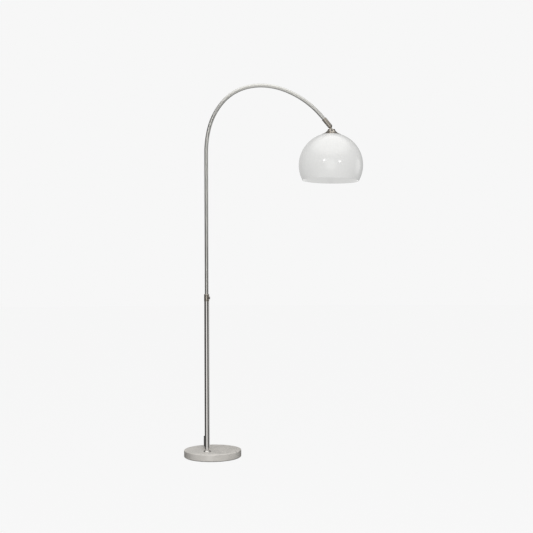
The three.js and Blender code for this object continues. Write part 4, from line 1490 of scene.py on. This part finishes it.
class ARCLAMP_OT_holder(bpy.types.Operator):
    """Make the lampholder and the frosted bulb in it"""

    bl_idname = "arc_lamp.holder"
    bl_label = "Lampholder and bulb"

    def execute(self, context):
        globe = context.scene.arc_lamp_shade.radius / MM
        above = WASHER_DROP + WASHER_THICK + PIECE_GAP + NUT_THICK + HOLDER_DROP
        top = gasket_top(globe) - above
        outer, inner, bore = 19.5, 15.5, 5.3
        low = top - 20
        profile = [
            (bore, top), (bore + 5, top), *arc_points((bore + 5, top - 9), outer - bore - 5, 88, 0, 12),
            (outer, low + 0.5), (outer - 0.5, low), (inner, low), (inner, top - 9), (bore + 4, top - 4),
            (bore, top - 4),
        ]
        cap = turned("holder_dome", profile, 80, hung())
        finished(cap, "shade", "black_plastic", "plastic", "holder_cap")

        high = low - 0.3
        low = high - 34
        profile = [(inner, high), (outer - 0.4, high), (outer, high - 0.4)]
        height = high - 2
        for _ in range(9):
            profile.extend([(outer, height), (outer - 0.45, height - 0.7), (outer, height - 1.4)])
            height -= 2.4
        profile.extend([
            (outer, low + 9), (outer + 0.9, low + 8.4), (outer + 1, low + 7.6), (outer + 1, low + 3.6),
            (outer + 0.9, low + 2.8), (outer, low + 2), (outer - 0.3, low), (inner, low),
        ])
        barrel = turned("holder_barrel", profile, 80, hung())
        finished(barrel, "shade", "black_plastic", "plastic", "holder_body")
        refinished("holder_insert", "porcelain")
        refinished("holder_contact", "brass")

        bulb_top = high - 1 - 5 - 1.2 - 0.3
        profile = [(0, bulb_top), (3.8, bulb_top), (4.6, bulb_top - 0.5), (9, bulb_top - 3)]
        for i in range(40):
            t = i / 39
            wave = 0.5 + 0.5 * math.sin(2 * math.pi * t * 5)
            profile.append((12.1 + 0.95 * wave, bulb_top - 4 - 19 * t))
        profile.extend([(12.1, bulb_top - 24.5), (12.1, bulb_top - 25), (0, bulb_top - 25)])
        cap = turned("bulb_screw_cap", profile, 56, hung(), loop=False)
        finished(cap, "shade", "brass", "brass", "bulb_cap")

        neck = bulb_top - 25.3
        glass = 30
        centre = bulb_top - 108 + glass
        shoulder = hollowed((13.6, neck - 4), (glass * 0.94, centre + glass * 0.34), 3, 14)
        profile = [
            (0, neck), (13.1, neck), (13.6, neck - 0.8), *shoulder,
            *arc_points((0, centre), glass, 14, -90, 28),
        ]
        bulb = turned("frosted_bulb", profile, 80, hung(), loop=False)
        finished(bulb, "shade", "bulb_opal", "bulb", "bulb_globe")
        return {"FINISHED"}


# ---------------------------------------------------------------- declarations


class ARCLAMP_OT_declare(bpy.types.Operator):
    """An empty step: it says nothing about the leads."""

    bl_idname = "arc_lamp.declare"
    bl_label = "Declare the leads"

    def execute(self, context):
        return {"FINISHED"}


class ARCLAMP_PT_panel(bpy.types.Panel):
    """The lamp's pieces and settings in the sidebar"""

    bl_idname = "ARCLAMP_PT_panel"
    bl_label = "Arc lamp"
    bl_space_type = "VIEW_3D"
    bl_region_type = "UI"
    bl_category = "Arc Lamp"

    def draw(self, context):
        layout = self.layout
        for operator in OPERATORS:
            layout.operator(operator.bl_idname)
        for name in SETTINGS:
            box = layout.box()
            group = getattr(context.scene, name)
            for setting in group.__annotations__:
                box.prop(group, setting)


SETTINGS = {
    "arc_lamp_stage": StageSettings,
    "arc_lamp_foot": FootSettings,
    "arc_lamp_tube": TubeSettings,
    "arc_lamp_shade": ShadeSettings,
    "arc_lamp_lead": LeadSettings,
}
OPERATORS = (
    ARCLAMP_OT_stage,
    ARCLAMP_OT_lamp_lead,
    ARCLAMP_OT_plug_lead,
    ARCLAMP_OT_switch,
    ARCLAMP_OT_plug,
    ARCLAMP_OT_declare,
    ARCLAMP_OT_foot,
    ARCLAMP_OT_pole,
    ARCLAMP_OT_collar,
    ARCLAMP_OT_arc,
    ARCLAMP_OT_knuckle,
    ARCLAMP_OT_cap,
    ARCLAMP_OT_globe,
    ARCLAMP_OT_clamp,
    ARCLAMP_OT_holder,
)


def register():
    """Registers the settings, the operators and the panel."""
    for name, group in SETTINGS.items():
        bpy.utils.register_class(group)
        setattr(bpy.types.Scene, name, PointerProperty(type=group))
    for operator in OPERATORS:
        bpy.utils.register_class(operator)
    bpy.utils.register_class(ARCLAMP_PT_panel)


def unregister():
    """Takes the panel, the operators and the settings out again."""
    bpy.utils.unregister_class(ARCLAMP_PT_panel)
    for operator in reversed(OPERATORS):
        bpy.utils.unregister_class(operator)
    for name, group in reversed(SETTINGS.items()):
        delattr(bpy.types.Scene, name)
        bpy.utils.unregister_class(group)


def main():
    register()
    for operator in OPERATORS:
        area, name = operator.bl_idname.split(".")
        getattr(getattr(bpy.ops, area), name)()


if __name__ == "__main__":
    main()
